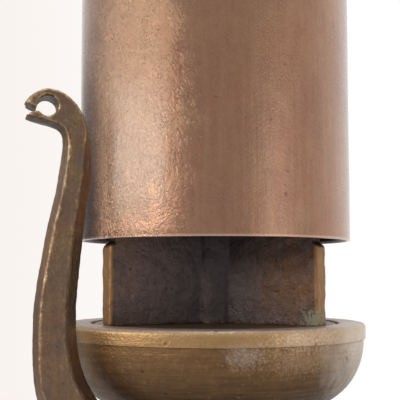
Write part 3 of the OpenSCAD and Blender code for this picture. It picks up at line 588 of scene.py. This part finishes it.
# %% Partition: painted shade by the hub, bare gold on its outer edges, green salt at its feet
def partition_finish():
    material, tree, shader = start_material("partition_bronze")
    gold = paint(0.520, 0.290, 0.120)
    soot_and_shade = paint(0.095, 0.080, 0.080)
    salt = paint(0.480, 0.470, 0.330)
    wing_r = bell_r - 10.5 * mm
    broad = use(tree, clouds, Size=18 * mm, Detail=5.0, Shift=(0.6, 0.6, 0.1))["Mask"]
    small = use(tree, clouds, Size=4 * mm, Detail=7.0, Shift=(0.9, 0.3, 0.4))["Mask"]
    skin = use(tree, grain, Size=0.9 * mm, Stretch=(1, 1, 1), Low=0.55, High=0.70)
    lines = use(tree, grain, Size=3 * mm, Stretch=(1, 1, 0.15), Low=0.40, High=0.66)
    holes = use(tree, pits, Size=3 * mm, Share=0.5, Radius=0.26)
    wear = use(tree, edge_wear, Start=0.05, Full=0.16, Breakup=2.5 * mm, Broken=1.5)
    # Painted shade: the colour darkens towards the hub, deep in the mouth.
    out = use(tree, from_axis, Near=14 * mm, Far=52 * mm)["Mask"]
    rim = use(tree, from_axis, Near=wing_r - 1.6 * mm, Far=wing_r - 0.5 * mm)["Mask"]
    # Painted shade low on the wings' feet.
    painted_foot_shade = use(tree, from_floor, Near=rim_z + 16 * mm, Far=rim_z + 1 * mm)["Mask"]
    right = patch_on(tree, rim_z, (40, -20, 20), (34, 50, 34), ragged=0.6, grit=6)
    rusty = times(tree, right, ramp(tree, lines["Mask"], 0, 1, 0.6, 1.0))
    salty = patch_on(tree, rim_z, (53, -36, 3), (8, 20, 6), ragged=1.3, grit=1.6)
    salty_left = patch_on(tree, rim_z, (-62, -34, 2), (3, 10, 4), ragged=0.8)
    color = mixed(tree, broad, paint(0.190, 0.125, 0.105), paint(0.145, 0.106, 0.116))
    color = layered(
        tree, color,
        (lines["Mask"], paint(0.240, 0.165, 0.110), 0.4),
        (rusty, paint(0.175, 0.088, 0.040), 0.92),
        (times(tree, skin["Mask"], out), paint(0.420, 0.270, 0.170), 0.40),
    )
    # Painted shade towards the hub; the same dark colour also serves for dirt and pits.
    color = mixed(tree, out, soot_and_shade, color)
    color = layered(
        tree, color,
        # Painted shade on the feet.
        (painted_foot_shade, soot_and_shade, 0.55),
        (rim, paint(0.400, 0.220, 0.100), 0.9),
        (wear["Worn"], gold),
        (wear["Dirt"], soot_and_shade, 0.85),
        (holes["Mask"], soot_and_shade, 0.5),
    )
    green = math_of(tree, "MAXIMUM", salty, salty_left)
    color = mixed(tree, green, color, salt, 0.75)
    rough = math_of(tree, "ADD", 0.46, summed(tree, (small, 0.12), (green, 0.3), (wear["Worn"], -0.08)))
    height = summed(tree, (skin["Height"], 1.0), (holes["Height"], 0.7), (lines["Height"], 0.5), (green, 0.4))
    feed(tree, shader, color, rough, height, relief=0.3 * mm, metallic=ramp(tree, green, 0, 1, 0.95, 0.15))
    return material


# %% [markdown]
# The valve body is the same cast bronze as the lever but nobody grips it, so its colour is more even
# and its wear is only on the corners that a spanner slipped over.

# %% Valve body: cast bronze, cleaner than the lever
def valve_finish():
    material, tree, shader = start_material("valve_bronze")
    gold = paint(0.720, 0.500, 0.240)
    dark = paint(0.110, 0.070, 0.040)
    broad = use(tree, clouds, Size=26 * mm, Detail=5.0, Shift=(0.2, 0.6, 0.1))["Mask"]
    small = use(tree, clouds, Size=6 * mm, Detail=7.0, Shift=(0.9, 0.3, 0.4))["Mask"]
    skin = use(tree, grain, Size=1.2 * mm, Stretch=(1, 1, 1), Low=0.50, High=0.68)
    holes = use(tree, pits, Size=4.5 * mm, Share=0.45, Radius=0.26)
    wear = use(tree, edge_wear, Start=0.04, Full=0.16, Breakup=3 * mm, Broken=1.5)
    color = mixed(tree, broad, paint(0.380, 0.235, 0.110), paint(0.250, 0.150, 0.080))
    color = layered(
        tree, color,
        (small, paint(0.200, 0.110, 0.060), 0.4),
        (skin["Mask"], gold, 0.25),
        (wear["Worn"], gold),
        (wear["Dirt"], dark, 0.85),
        (holes["Mask"], dark, 0.65),
    )
    rough = math_of(tree, "ADD", 0.40, summed(tree, (small, 0.14), (wear["Worn"], -0.10)))
    height = summed(tree, (skin["Height"], 1.0), (holes["Height"], 0.8))
    feed(tree, shader, color, rough, height, relief=0.3 * mm)
    return material


# %% [markdown]
# The small parts are turned or milled from bar, in bronze or steel. They all have faint tool marks,
# a little tarnish and bright corners, so one function makes them from two colours and a roughness.

# %% Machined bronze and steel
def machined_finish(name, main, tint, gloss):
    """Turned or milled metal with faint tool marks and a little tarnish."""
    material, tree, shader = start_material(name)
    tarnish = use(tree, clouds, Size=12 * mm, Detail=5.0, Shift=(0.2, 0.2, 0.9))["Mask"]
    blotches = use(tree, clouds, Size=3 * mm, Detail=6.0, Shift=(0.8, 0.1, 0.3))["Mask"]
    marks = use(tree, grain, Size=0.6 * mm, Stretch=(0.1, 0.1, 1), Low=0.35, High=0.65)
    wear = use(tree, edge_wear, Start=0.03, Full=0.14, Breakup=2 * mm, Broken=1.2)
    color = mixed(tree, tarnish, main, tint)
    color = mixed(tree, blotches, color, tint, 0.4)
    bright = paint(*(min(1.0, 1.6 * channel) for channel in main[:3]))
    color = layered(
        tree, color,
        (wear["Worn"], bright),
        (wear["Dirt"], paint(*(0.4 * channel for channel in tint[:3])), 0.8),
    )
    rough = math_of(tree, "ADD", gloss, summed(tree, (tarnish, 0.12), (blotches, 0.05)))
    feed(tree, shader, color, rough, marks["Height"], relief=0.06 * mm)
    return material


# %% [markdown]
# Two gaskets are pressed red fibre, and the packing and the valve's facing are plaited and graphited.
# They aren't metal: fine flecks in a second colour and a high roughness are enough.

# %% Fibre and packing
def soft_finish(name, main, fleck, thread):
    """Pressed fibre or plaited packing, with flecks of the given thread size."""
    material, tree, shader = start_material(name)
    flecks = use(tree, grain, Size=thread, Stretch=(1, 0.3, 1), Low=0.4, High=0.6)
    uneven = use(tree, clouds, Size=6 * mm, Detail=5.0)["Mask"]
    color = mixed(tree, flecks["Mask"], main, fleck)
    rough = ramp(tree, uneven, 0, 1, 0.75, 0.9)
    feed(tree, shader, color, rough, flecks["Height"], relief=0.2 * mm, metallic=0.0)
    return material


# %% Make the finishes
finishes = {
    "bell_copper": bell_finish(),
    "bowl_bronze": bowl_finish(),
    "lever_bronze": lever_finish(),
    "partition_bronze": partition_finish(),
    "valve_bronze": valve_finish(),
    "red_fibre": soft_finish("red_fibre", paint(0.18, 0.035, 0.025), paint(0.30, 0.08, 0.05), 1.0 * mm),
}
finishes["graphite_packing"] = soft_finish("graphite_packing", paint(0.025, 0.025, 0.028),
                                           paint(0.10, 0.10, 0.11), 1.2 * mm)
machined_colors = {
    "languid_bronze": (paint(0.36, 0.25, 0.18), paint(0.21, 0.15, 0.11), 0.42),
    "nut_bronze": (paint(0.52, 0.34, 0.15), paint(0.32, 0.19, 0.09), 0.30),
    "trim_bronze": (paint(0.58, 0.38, 0.18), paint(0.36, 0.22, 0.12), 0.26),
    "steel": (paint(0.46, 0.45, 0.44), paint(0.27, 0.24, 0.21), 0.30),
    "spring_steel": (paint(0.32, 0.32, 0.34), paint(0.17, 0.16, 0.15), 0.30),
}
for slot_name, (main, tint, gloss) in machined_colors.items():
    finishes[slot_name] = machined_finish(slot_name, main, tint, gloss)
print(len(finishes), "finishes")

# %% [markdown]
# The record says which slot each node belongs to. Nodes that get no piece of their own below, such as
# the stem, the seat and the stud, keep their solid's shape and wear their slot's finish as it is.

# %% Give every node its slot's finish
node_slots = {row["node"]: row["material_slot"] for row in frame["record"]["subparts"]}
node_bodies = {name: body for body, names in frame["record"]["behaviour"]["bodies"].items() for name in names}
for node_name, node in nodes.items():
    finish = finishes[node_slots[node_name]]
    if not node.data.materials:
        node.data.materials.append(finish)
    for place in range(len(node.material_slots)):
        node.material_slots[place].material = finish
print(len(nodes), "nodes dressed")

# %% [markdown]
# ## Mesh helpers
#
# Two ways of making a piece cover the whole whistle. A turned piece is an outline spun round the
# axis. A casting or a nut starts from a copy of its solid, remeshed into small even quads, which
# rounds every edge a little as a sand mould or long use does, and keeps the solid's own form.

# %% Objects and applied modifiers
def link(name, mesh):
    piece = bpy.data.objects.new(name, mesh)
    bpy.context.scene.collection.objects.link(piece)
    return piece


def mesh_from(name, points, faces):
    mesh = bpy.data.meshes.new(name)
    mesh.from_pydata([tuple(p) for p in points], [], faces)
    mesh.update()
    return mesh


def apply_modifiers(piece):
    """Turn a piece's modifiers into plain mesh, so the mesh holds what is rendered."""
    bpy.context.view_layer.update()
    graph = bpy.context.evaluated_depsgraph_get()
    mesh = bpy.data.meshes.new_from_object(piece.evaluated_get(graph))
    piece.modifiers.clear()
    piece.data = mesh
    return piece


# %% Edge measure
def mark_edges(piece, spread=2):
    """Store on each vertex how far it stands proud of its neighbours, in edge lengths."""
    mesh = piece.data
    count = len(mesh.vertices)
    place = np.empty(3 * count)
    mesh.vertices.foreach_get("co", place)
    place = place.reshape(-1, 3)
    outward = np.empty(3 * count)
    mesh.vertices.foreach_get("normal", outward)
    outward = outward.reshape(-1, 3)
    ends = np.empty(2 * len(mesh.edges), int)
    mesh.edges.foreach_get("vertices", ends)
    ends = ends.reshape(-1, 2)
    degree = np.bincount(ends.ravel(), minlength=count).clip(1)

    def mean_of_neighbours(values):
        total = np.zeros_like(values)
        np.add.at(total, ends[:, 0], values[ends[:, 1]])
        np.add.at(total, ends[:, 1], values[ends[:, 0]])
        return total / (degree[:, None] if values.ndim > 1 else degree)

    length = np.linalg.norm(place[ends[:, 0]] - place[ends[:, 1]], axis=1).mean()
    proud = ((place - mean_of_neighbours(place)) * outward).sum(axis=1) / length
    for _ in range(spread):
        proud = (proud + mean_of_neighbours(proud)) / 2
    edge = mesh.attributes.new("edge", "FLOAT", "POINT")
    edge.data.foreach_set("value", proud.astype(np.float32))
    return piece


# %% Uneven skin
def roughen(piece, height, size, shift):
    """Move vertices along their normals by smooth noise whose lumps are about `size` across."""
    start = Vector((shift, 2 * shift, 3 * shift))
    moves = [v.normal * height * noise.noise(v.co / size + start) for v in piece.data.vertices]
    for vertex, move in zip(piece.data.vertices, moves):
        vertex.co += move
    piece.data.update()
    return piece


# %% Turned pieces
same_point = 1e-6


def rounded(corners, steps=5):
    """Outline through (radius, height, fillet) corners, each corner rounded by its fillet."""
    outline = []
    count = len(corners)
    for i, (r, z, fillet) in enumerate(corners):
        here = Vector((r, z))
        if not fillet:
            outline.append(here)
            continue
        before = (Vector(corners[i - 1][:2]) - here).normalized()
        after = (Vector(corners[(i + 1) % count][:2]) - here).normalized()
        half = before.angle(after) / 2
        reach = fillet / math.tan(half)
        centre = here + (before + after).normalized() * fillet / math.sin(half)
        first = here + before * reach - centre
        last = here + after * reach - centre
        turn = first.angle_signed(last)
        for k in range(steps + 1):
            spoke = first.copy()
            spoke.rotate(Matrix.Rotation(-turn * k / steps, 2))
            outline.append(centre + spoke)
    return outline


def refined(outline, longest):
    """The same closed outline with no stretch longer than `longest`."""
    finer = []
    for i, point in enumerate(outline):
        following = outline[(i + 1) % len(outline)]
        pieces = max(1, math.ceil((following - point).length / longest))
        finer += [point.lerp(following, k / pieces) for k in range(pieces)]
    return finer


def spun(name, outline, around, radius_at=None):
    """Spin a closed outline of (radius, height) about the Z axis. radius_at(r, z, angle) bends it."""
    points, faces = [], []
    rows = len(outline)
    for a in range(around):
        angle = math.tau * a / around
        for r, z in outline:
            reach = radius_at(r, z, angle) if radius_at else r
            points.append((reach * math.cos(angle), reach * math.sin(angle), z))
    for a in range(around):
        here, there = a * rows, (a + 1) % around * rows
        for k in range(rows):
            n = (k + 1) % rows
            faces.append((here + k, there + k, there + n, here + n))
    mesh = mesh_from(name, points, faces)
    shell = bmesh.new()
    shell.from_mesh(mesh)
    bmesh.ops.remove_doubles(shell, verts=shell.verts, dist=same_point)
    bmesh.ops.recalc_face_normals(shell, faces=shell.faces)
    shell.to_mesh(mesh)
    shell.free()
    return link(name, mesh)


# %% Even quads
def evened(piece, grid, smoothing):
    """Remesh a piece into even quads of one grid size and soften its edges."""
    remesh = piece.modifiers.new("even quads", "REMESH")
    remesh.mode = "VOXEL"
    remesh.voxel_size = grid
    soften = piece.modifiers.new("soft edges", "SMOOTH")
    soften.factor = 0.5
    soften.iterations = smoothing
    apply_modifiers(piece)
    return mark_edges(piece)


# %% Finishing a piece
def settle(piece, body, slot_name, *replaced, sharp=40):
    """Shade a piece smooth except at sharp corners, dress it, and fix it to its body."""
    piece.data.shade_smooth()
    piece.data.set_sharp_from_angle(angle=math.radians(sharp))
    piece.data.materials.clear()
    piece.data.materials.append(finishes[slot_name])
    if replaced:
        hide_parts(*replaced)
    print(piece.name, len(piece.data.vertices), "vertices")
    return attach(piece, body)


# %% A worn copy of a solid
def worn_copy(name, node_name, grid, smoothing, skin, skin_size, shift):
    """Replace a node by its even, softened copy, with a sandy skin of the given height."""
    piece = link(name, nodes[node_name].data.copy())
    evened(piece, grid, smoothing)
    roughen(piece, skin, skin_size, shift)
    roughen(piece, skin / 2, skin_size / 3, shift + 5)
    return settle(piece, node_bodies[node_name], node_slots[node_name], node_name)


# %% [markdown]
# ## Bell
#
# The bell is a drawn tube, so it is almost perfectly round. The small departures matter: they bend
# the long highlights. The tube is spun from its outline with enough rows to carry dents of a tenth
# of a millimetre, and the lip's bevel and corners are rounded where steam and handling wore them.

# %% Bell tube
bell_wall = 3.2 * mm
lip_bevel = 1.3 * mm
worn_r = 0.5 * mm
bevel_r = 0.3 * mm
bell_inner_r = bell_r - bell_wall
tube_corners = [
    (bell_inner_r, bell_top_z, 0),
    (bell_inner_r, lip_z + lip_bevel, worn_r),
    (bell_inner_r + lip_bevel, lip_z, bevel_r),
    (bell_r, lip_z, worn_r),
    (bell_r, bell_top_z, 0),
]
bell = spun("bell", refined(rounded(tube_corners), longest=4 * mm), around=256)
mark_edges(bell, spread=1)
roughen(bell, height=0.10 * mm, size=30 * mm, shift=3)
roughen(bell, height=0.04 * mm, size=9 * mm, shift=8)
settle(bell, "whistle", "bell_copper", "bell_tube")

# %% [markdown]
# ## Bowl
#
# The bowl is one casting whose outside was turned smooth: a round belly, a raised band under the rim
# and an inward lip that leaves the ring slot. It is spun from a rounded outline. The spider inside,
# whose hub holds the centre stud, keeps its solid's form with softened edges.

# %% Bowl outline
band_h = 8.4 * mm
band_step = 1 * mm
belly_arc = 38 * mm
bowl_wall = 5 * mm
rim_lip = 7 * mm
boss_z = bowl_low.z
boss_r = 34 * mm
boss_cove = 6 * mm
neck_r = 21.05 * mm
slot_gap = 2 * mm
lip_taper = 7 * mm
rim_fillet = 2.4 * mm
band_fillet = 0.5 * mm
turned_fillet = 0.4 * mm
slot_fillet = 0.8 * mm
boss_fillet = 1 * mm
slot_r = languid_r + slot_gap
side_r = rim_r - band_step
band_z = rim_z - band_h
belly_drop = 9 * mm
belly_z = rim_z - belly_drop
floor_z = belly_z - belly_arc


def belly(inset, steps=24):
    """Quarter circle of the belly, from the floor up to the side."""
    centre_r, reach = side_r - belly_arc, belly_arc - inset
    turns = [math.radians(90 * k / steps) for k in range(steps + 1)]
    return [(centre_r + reach * math.sin(t), belly_z - reach * math.cos(t), 0) for t in turns]


bowl_corners = (
    [(neck_r, floor_z + bowl_wall, turned_fillet), (neck_r, boss_z, turned_fillet)]
    + [(boss_r, boss_z, boss_fillet), (boss_r, floor_z, boss_cove)]
    + belly(0)[:-1]
    + [(side_r, band_z, turned_fillet), (rim_r, band_z, band_fillet), (rim_r, rim_z, rim_fillet)]
    + [(slot_r, rim_z, turned_fillet), (slot_r, rim_z - rim_lip, slot_fillet)]
    + [(side_r - bowl_wall, rim_z - rim_lip - lip_taper, 0)]
    + belly(bowl_wall)[-2::-1]
)
bowl = spun("bowl_casting", refined(rounded(bowl_corners), longest=1.8 * mm), around=320)
mark_edges(bowl, spread=1)
roughen(bowl, height=0.14 * mm, size=16 * mm, shift=2)
roughen(bowl, height=0.05 * mm, size=4 * mm, shift=11)
settle(bowl, "whistle", "bowl_bronze", "bowl")

# %% Spider and disc
worn_copy("spider", "stud_spider", grid=0.9 * mm, smoothing=3, skin=0.10 * mm, skin_size=4 * mm, shift=12)
worn_copy("slot_disc", "languid_disc", grid=0.7 * mm, smoothing=2, skin=0.05 * mm, skin_size=6 * mm, shift=14)

# %% [markdown]
# ## Chime partition
#
# The wings' feet stand in the steam and show in the mouth, with rough outer edges that were fettled
# by hand. The long thin wings above them stay inside the bell. So the copy of the solid is cut at the
# feet's top: the feet are remeshed finely, and the rest stays as it is.

# %% Wing feet and the wings above
seam_gap = 1e-7


def half_of(name, node_name, height, keep_above):
    """The part of a solid above or below a height, closed at the cut."""
    part = bmesh.new()
    part.from_mesh(nodes[node_name].data)
    bmesh.ops.remove_doubles(part, verts=part.verts, dist=seam_gap)
    cut = bmesh.ops.bisect_plane(part, geom=part.verts[:] + part.edges[:] + part.faces[:],
                                 plane_co=(0, 0, height), plane_no=(0, 0, 1),
                                 clear_inner=keep_above, clear_outer=not keep_above)
    rim = [item for item in cut["geom_cut"] if isinstance(item, bmesh.types.BMEdge)]
    bmesh.ops.holes_fill(part, edges=rim, sides=0)
    mesh = bpy.data.meshes.new(name)
    part.to_mesh(mesh)
    part.free()
    return link(name, mesh)


foot_in_bell = 20 * mm
foot_top = lip_z + foot_in_bell
feet = half_of("wing_feet", "chime_partition", foot_top, keep_above=False)
evened(feet, grid=0.75 * mm, smoothing=3)
roughen(feet, height=0.35 * mm, size=7 * mm, shift=4)
roughen(feet, height=0.20 * mm, size=2.4 * mm, shift=9)
settle(feet, "whistle", "partition_bronze", "chime_partition")
upper_wings = half_of("upper_wings", "chime_partition", foot_top, keep_above=True)
settle(upper_wings, "whistle", "partition_bronze")

# %% [markdown]
# ## Lever and valve body
#
# The lever is the roughest casting and the one that hands touch, so its edges are polished to gold
# while its faces stay grey-brown. Its form comes from the solid; a fine grid keeps the ridge and
# the hook's opening crisp enough. The valve body is cast too, and the remesh gives it the fillets
# that the pattern maker would have put in every corner.

# %% Castings
lever = worn_copy("lever_casting", "lever", grid=0.75 * mm, smoothing=3, skin=0.18 * mm, skin_size=4 * mm,
                  shift=6)
worn_copy("valve_casting", "valve_body", grid=1.1 * mm, smoothing=4, skin=0.14 * mm, skin_size=5 * mm,
          shift=7)

# %% [markdown]
# ## Caps, nuts and washers
#
# These were turned and milled, so their faces are flat and their edges crisp, but spanners have
# bruised the corners. A finer grid than the castings' keeps the edges within half a millimetre.

# %% Machined pieces
machined_grids = {
    "bell_top": 0.9, "top_washer": 0.5, "top_nut": 0.45, "acorn_nut": 0.45, "spring_cap": 0.5,
    "end_plug": 0.5, "gland_ring": 0.45, "shaft_nut": 0.35, "shaft_washer": 0.35,
}
machined = {}
for order, (node_name, grid) in enumerate(machined_grids.items()):
    machined[node_name] = worn_copy(f"worn_{node_name}", node_name, grid * mm, smoothing=2, skin=0.04 * mm,
                                    skin_size=5 * mm, shift=20 + order)

# %% [markdown]
# ## Guide bore
#
# The stem's tail slides in a bore of the spring cap. The grid's softened walls would touch it, so
# the walls' points move out from the slide's axis until the tail runs free. The axis runs through the
# middle of the valve's disc.

# %% Guide bore
tail_r = 4 * mm
tail_room = 0.4 * mm
disc_low, disc_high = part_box("valve_disc")
disc_middle = (disc_low + disc_high) / 2
bore_r = tail_r + tail_room
moved = 0
for vertex in machined["spring_cap"].data.vertices:
    offset = vertex.co - disc_middle
    away = offset - inward * offset.dot(inward)
    if tail_r / 2 < away.length < bore_r:
        vertex.co += away.normalized() * (bore_r - away.length)
        moved += 1
print("guide bore opened at", moved, "points")

# %% [markdown]
# ## Inlet thread
#
# The pipe screws into the inlet, so its bore carries a thread. A thread is a groove that climbs one
# pitch each turn. Spinning an outline gives closed rings, but when each point's radius follows a
# wave of its height minus its share of the turn, the rings join into one helix.

# %% Thread in the inlet
pipe_r = 22 * mm
thread_pitch = 2.2 * mm
thread_depth = 0.5 * mm
thread_long = 21 * mm
thread_start = 0.6 * mm
valve_low, valve_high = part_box("valve_body")


def thread_radius(r, z, angle):
    """Radius of the helix on the inner side, and the plain sleeve outside it."""
    if r > pipe_r:
        return r
    climb = ((z - valve_low.z) / thread_pitch - angle / math.tau) % 1
    fade = min(1, (z - valve_low.z) / thread_pitch, (valve_low.z + thread_long - z) / thread_pitch)
    return r - thread_depth * max(0, fade) * (1 - abs(2 * climb - 1))


sleeve_low = valve_low.z + thread_start
sleeve_high = valve_low.z + thread_long
crest_r = pipe_r - 0.05 * mm
root_r = pipe_r + 0.3 * mm
sleeve = [Vector(corner) for corner in [(crest_r, sleeve_low), (root_r, sleeve_low),
                                        (root_r, sleeve_high), (crest_r, sleeve_high)]]
inlet_thread = spun("inlet_thread", refined(sleeve, longest=thread_pitch / 8), 128, thread_radius)
mark_edges(inlet_thread, spread=1)
settle(inlet_thread, "whistle", "valve_bronze", sharp=80)

# %% [markdown]
# ## Return spring
#
# The spring pushes the valve shut and shortens by the valve's travel when the lever is pulled. Its
# coil is the solid's, rounded by subdivision.

# %% Spring
spring = link("return_spring", nodes["valve_spring"].data.copy())
rounder = spring.modifiers.new("rounder", "SUBSURF")
rounder.levels = 1
apply_modifiers(spring)
mark_edges(spring, spread=1)
settle(spring, "whistle", "spring_steel", "valve_spring", sharp=60)
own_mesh(spring)

# %% [markdown]
# ## Studio
#
# The whistle stands on a pale floor. A key lamp low on the left, wider than it is high, makes the long
# highlight on the bell, a fill lamp in front on the right lights the bowl's side, and a broad lamp
# above lights the faces that look up. The floor is a thin disc that reaches far past the whistle.

# %% Floor
floor_r = 800 * mm
floor_t = 4 * mm
pinhole_r = 0.5 * mm
floor_outline = [Vector(corner) for corner in [(pinhole_r, -floor_t), (floor_r, -floor_t),
                                               (floor_r, 0), (pinhole_r, 0)]]
floor = spun("floor", floor_outline, around=96)
floor_material, floor_tree, floor_shader = start_material("pale_floor")
floor_shader.inputs["Base Color"].default_value = (0.80, 0.79, 0.78, 1)
floor_shader.inputs["Roughness"].default_value = 0.9
floor_shader.inputs["Specular IOR Level"].default_value = 0.1
floor.data.materials.append(floor_material)
print(f"floor {2 * floor_r:.1f} m across")

# %% [markdown]
# Metal is mostly what it reflects, so the room that glossy rays see is bright behind the whistle and
# dimmer behind the camera: the bell's flanks turn pale and its front stays brown. It is dimmest near
# the horizon at the left rear, which darkens the lower part of the bell's left flank. The camera sees
# a near-white backdrop, a little darker and warmer on the left as painted shade, and dull surfaces
# get a plain level of light, so that colours render about as they are written.

# %% World
world = bpy.data.worlds.new("white_room")
bpy.context.scene.world = world
world.use_nodes = True
world_tree = world.node_tree
world_tree.nodes.clear()
rays = put(world_tree, "LightPath").outputs
way = split(world_tree, put(world_tree, "TexCoord").outputs["Generated"])
# Painted shade: the backdrop that the camera sees is a little darker and warmer towards the left.
to_right = ramp(world_tree, way["X"], -0.22, 0.05)
backdrop = mixed(world_tree, to_right, paint(0.950, 0.900, 0.870), paint(1, 1, 1))
seen = math_of(world_tree, "MAXIMUM", rays["Is Camera Ray"], rays["Is Transmission Ray"])
walls = put(world_tree, "Background", {"Color": backdrop, "Strength": 1.0})
depth = ramp(world_tree, way["Y"], -0.6, 0.4, 0.55, 0.90)
to_left = ramp(world_tree, way["X"], -0.35, -0.58)
to_rear = ramp(world_tree, way["Y"], 0.08, 0.34)
left_rear = times(world_tree, to_left, to_rear)
low = ramp(world_tree, way["Z"], 0.27, 0.17, 0.25, 1.0)
shaded = ramp(world_tree, times(world_tree, left_rear, low), 0, 1, 1.0, 0.18)
strength = times(world_tree, depth, shaded)
mirrored = put(world_tree, "Background", {"Color": paint(1, 0.975, 0.955), "Strength": strength})
room = put(world_tree, "Background", {"Color": paint(1, 0.985, 0.970), "Strength": 0.45})
glossy = rays["Is Glossy Ray"]
with_gloss = put(world_tree, "MixShader", {0: glossy, 1: room.outputs[0], 2: mirrored.outputs[0]})
whole = put(world_tree, "MixShader", {0: seen, 1: with_gloss.outputs[0], 2: walls.outputs[0]})
put(world_tree, "OutputWorld", {"Surface": whole.outputs[0]})
print("world of", len(world_tree.nodes), "nodes")

# %% [markdown]
# The lamps are soft rectangles that face the bell's lip. Each is placed by its direction and distance,
# as a photographer would say it, because that is easier to change than three coordinates.

# %% Lamps
def lamp(name, azimuth, elevation, away, size, power, color=(1, 1, 1)):
    """Soft rectangular lamp facing the lip, azimuth in degrees from the viewer towards the right."""
    turn, lift = math.radians(azimuth), math.radians(elevation)
    target = Vector((0, 0, lip_z))
    offset = Vector((math.sin(turn) * math.cos(lift), -math.cos(turn) * math.cos(lift), math.sin(lift)))
    data = bpy.data.lights.new(name, "AREA")
    data.shape = "RECTANGLE"
    data.size, data.size_y = size
    data.energy = power
    data.color = color
    piece = bpy.data.objects.new(name, data)
    piece.location = target + offset * away
    piece.rotation_euler = offset.to_track_quat("Z", "Y").to_euler()
    bpy.context.scene.collection.objects.link(piece)
    print(f"{name} lamp, {power} W at {away} m")
    return piece


key = lamp("key", azimuth=-62, elevation=11, away=0.6, size=(0.52, 0.12), power=1.0, color=(1, 0.975, 0.93))
lamp("fill", azimuth=50, elevation=0, away=1.2, size=(0.60, 0.60), power=0.7)
lamp("top", azimuth=0, elevation=80, away=1.3, size=(0.8, 0.8), power=6)
bpy.context.scene.view_settings.view_transform = "Standard"

# %% [markdown]
# The lever stands close to the bell, and it would cut the key's long highlight with a hard dark
# oval that the real whistle doesn't show. A lamp can be told which pieces may block its light, so the
# key passes the lever, while every other lamp and the room still get its shadow and reflection.

# %% Let the key pass the lever
unblocked = bpy.data.collections.new("key passes")
unblocked.objects.link(lever)
unblocked.collection_objects[0].light_linking.link_state = "EXCLUDE"
key.light_linking.blocker_collection = unblocked
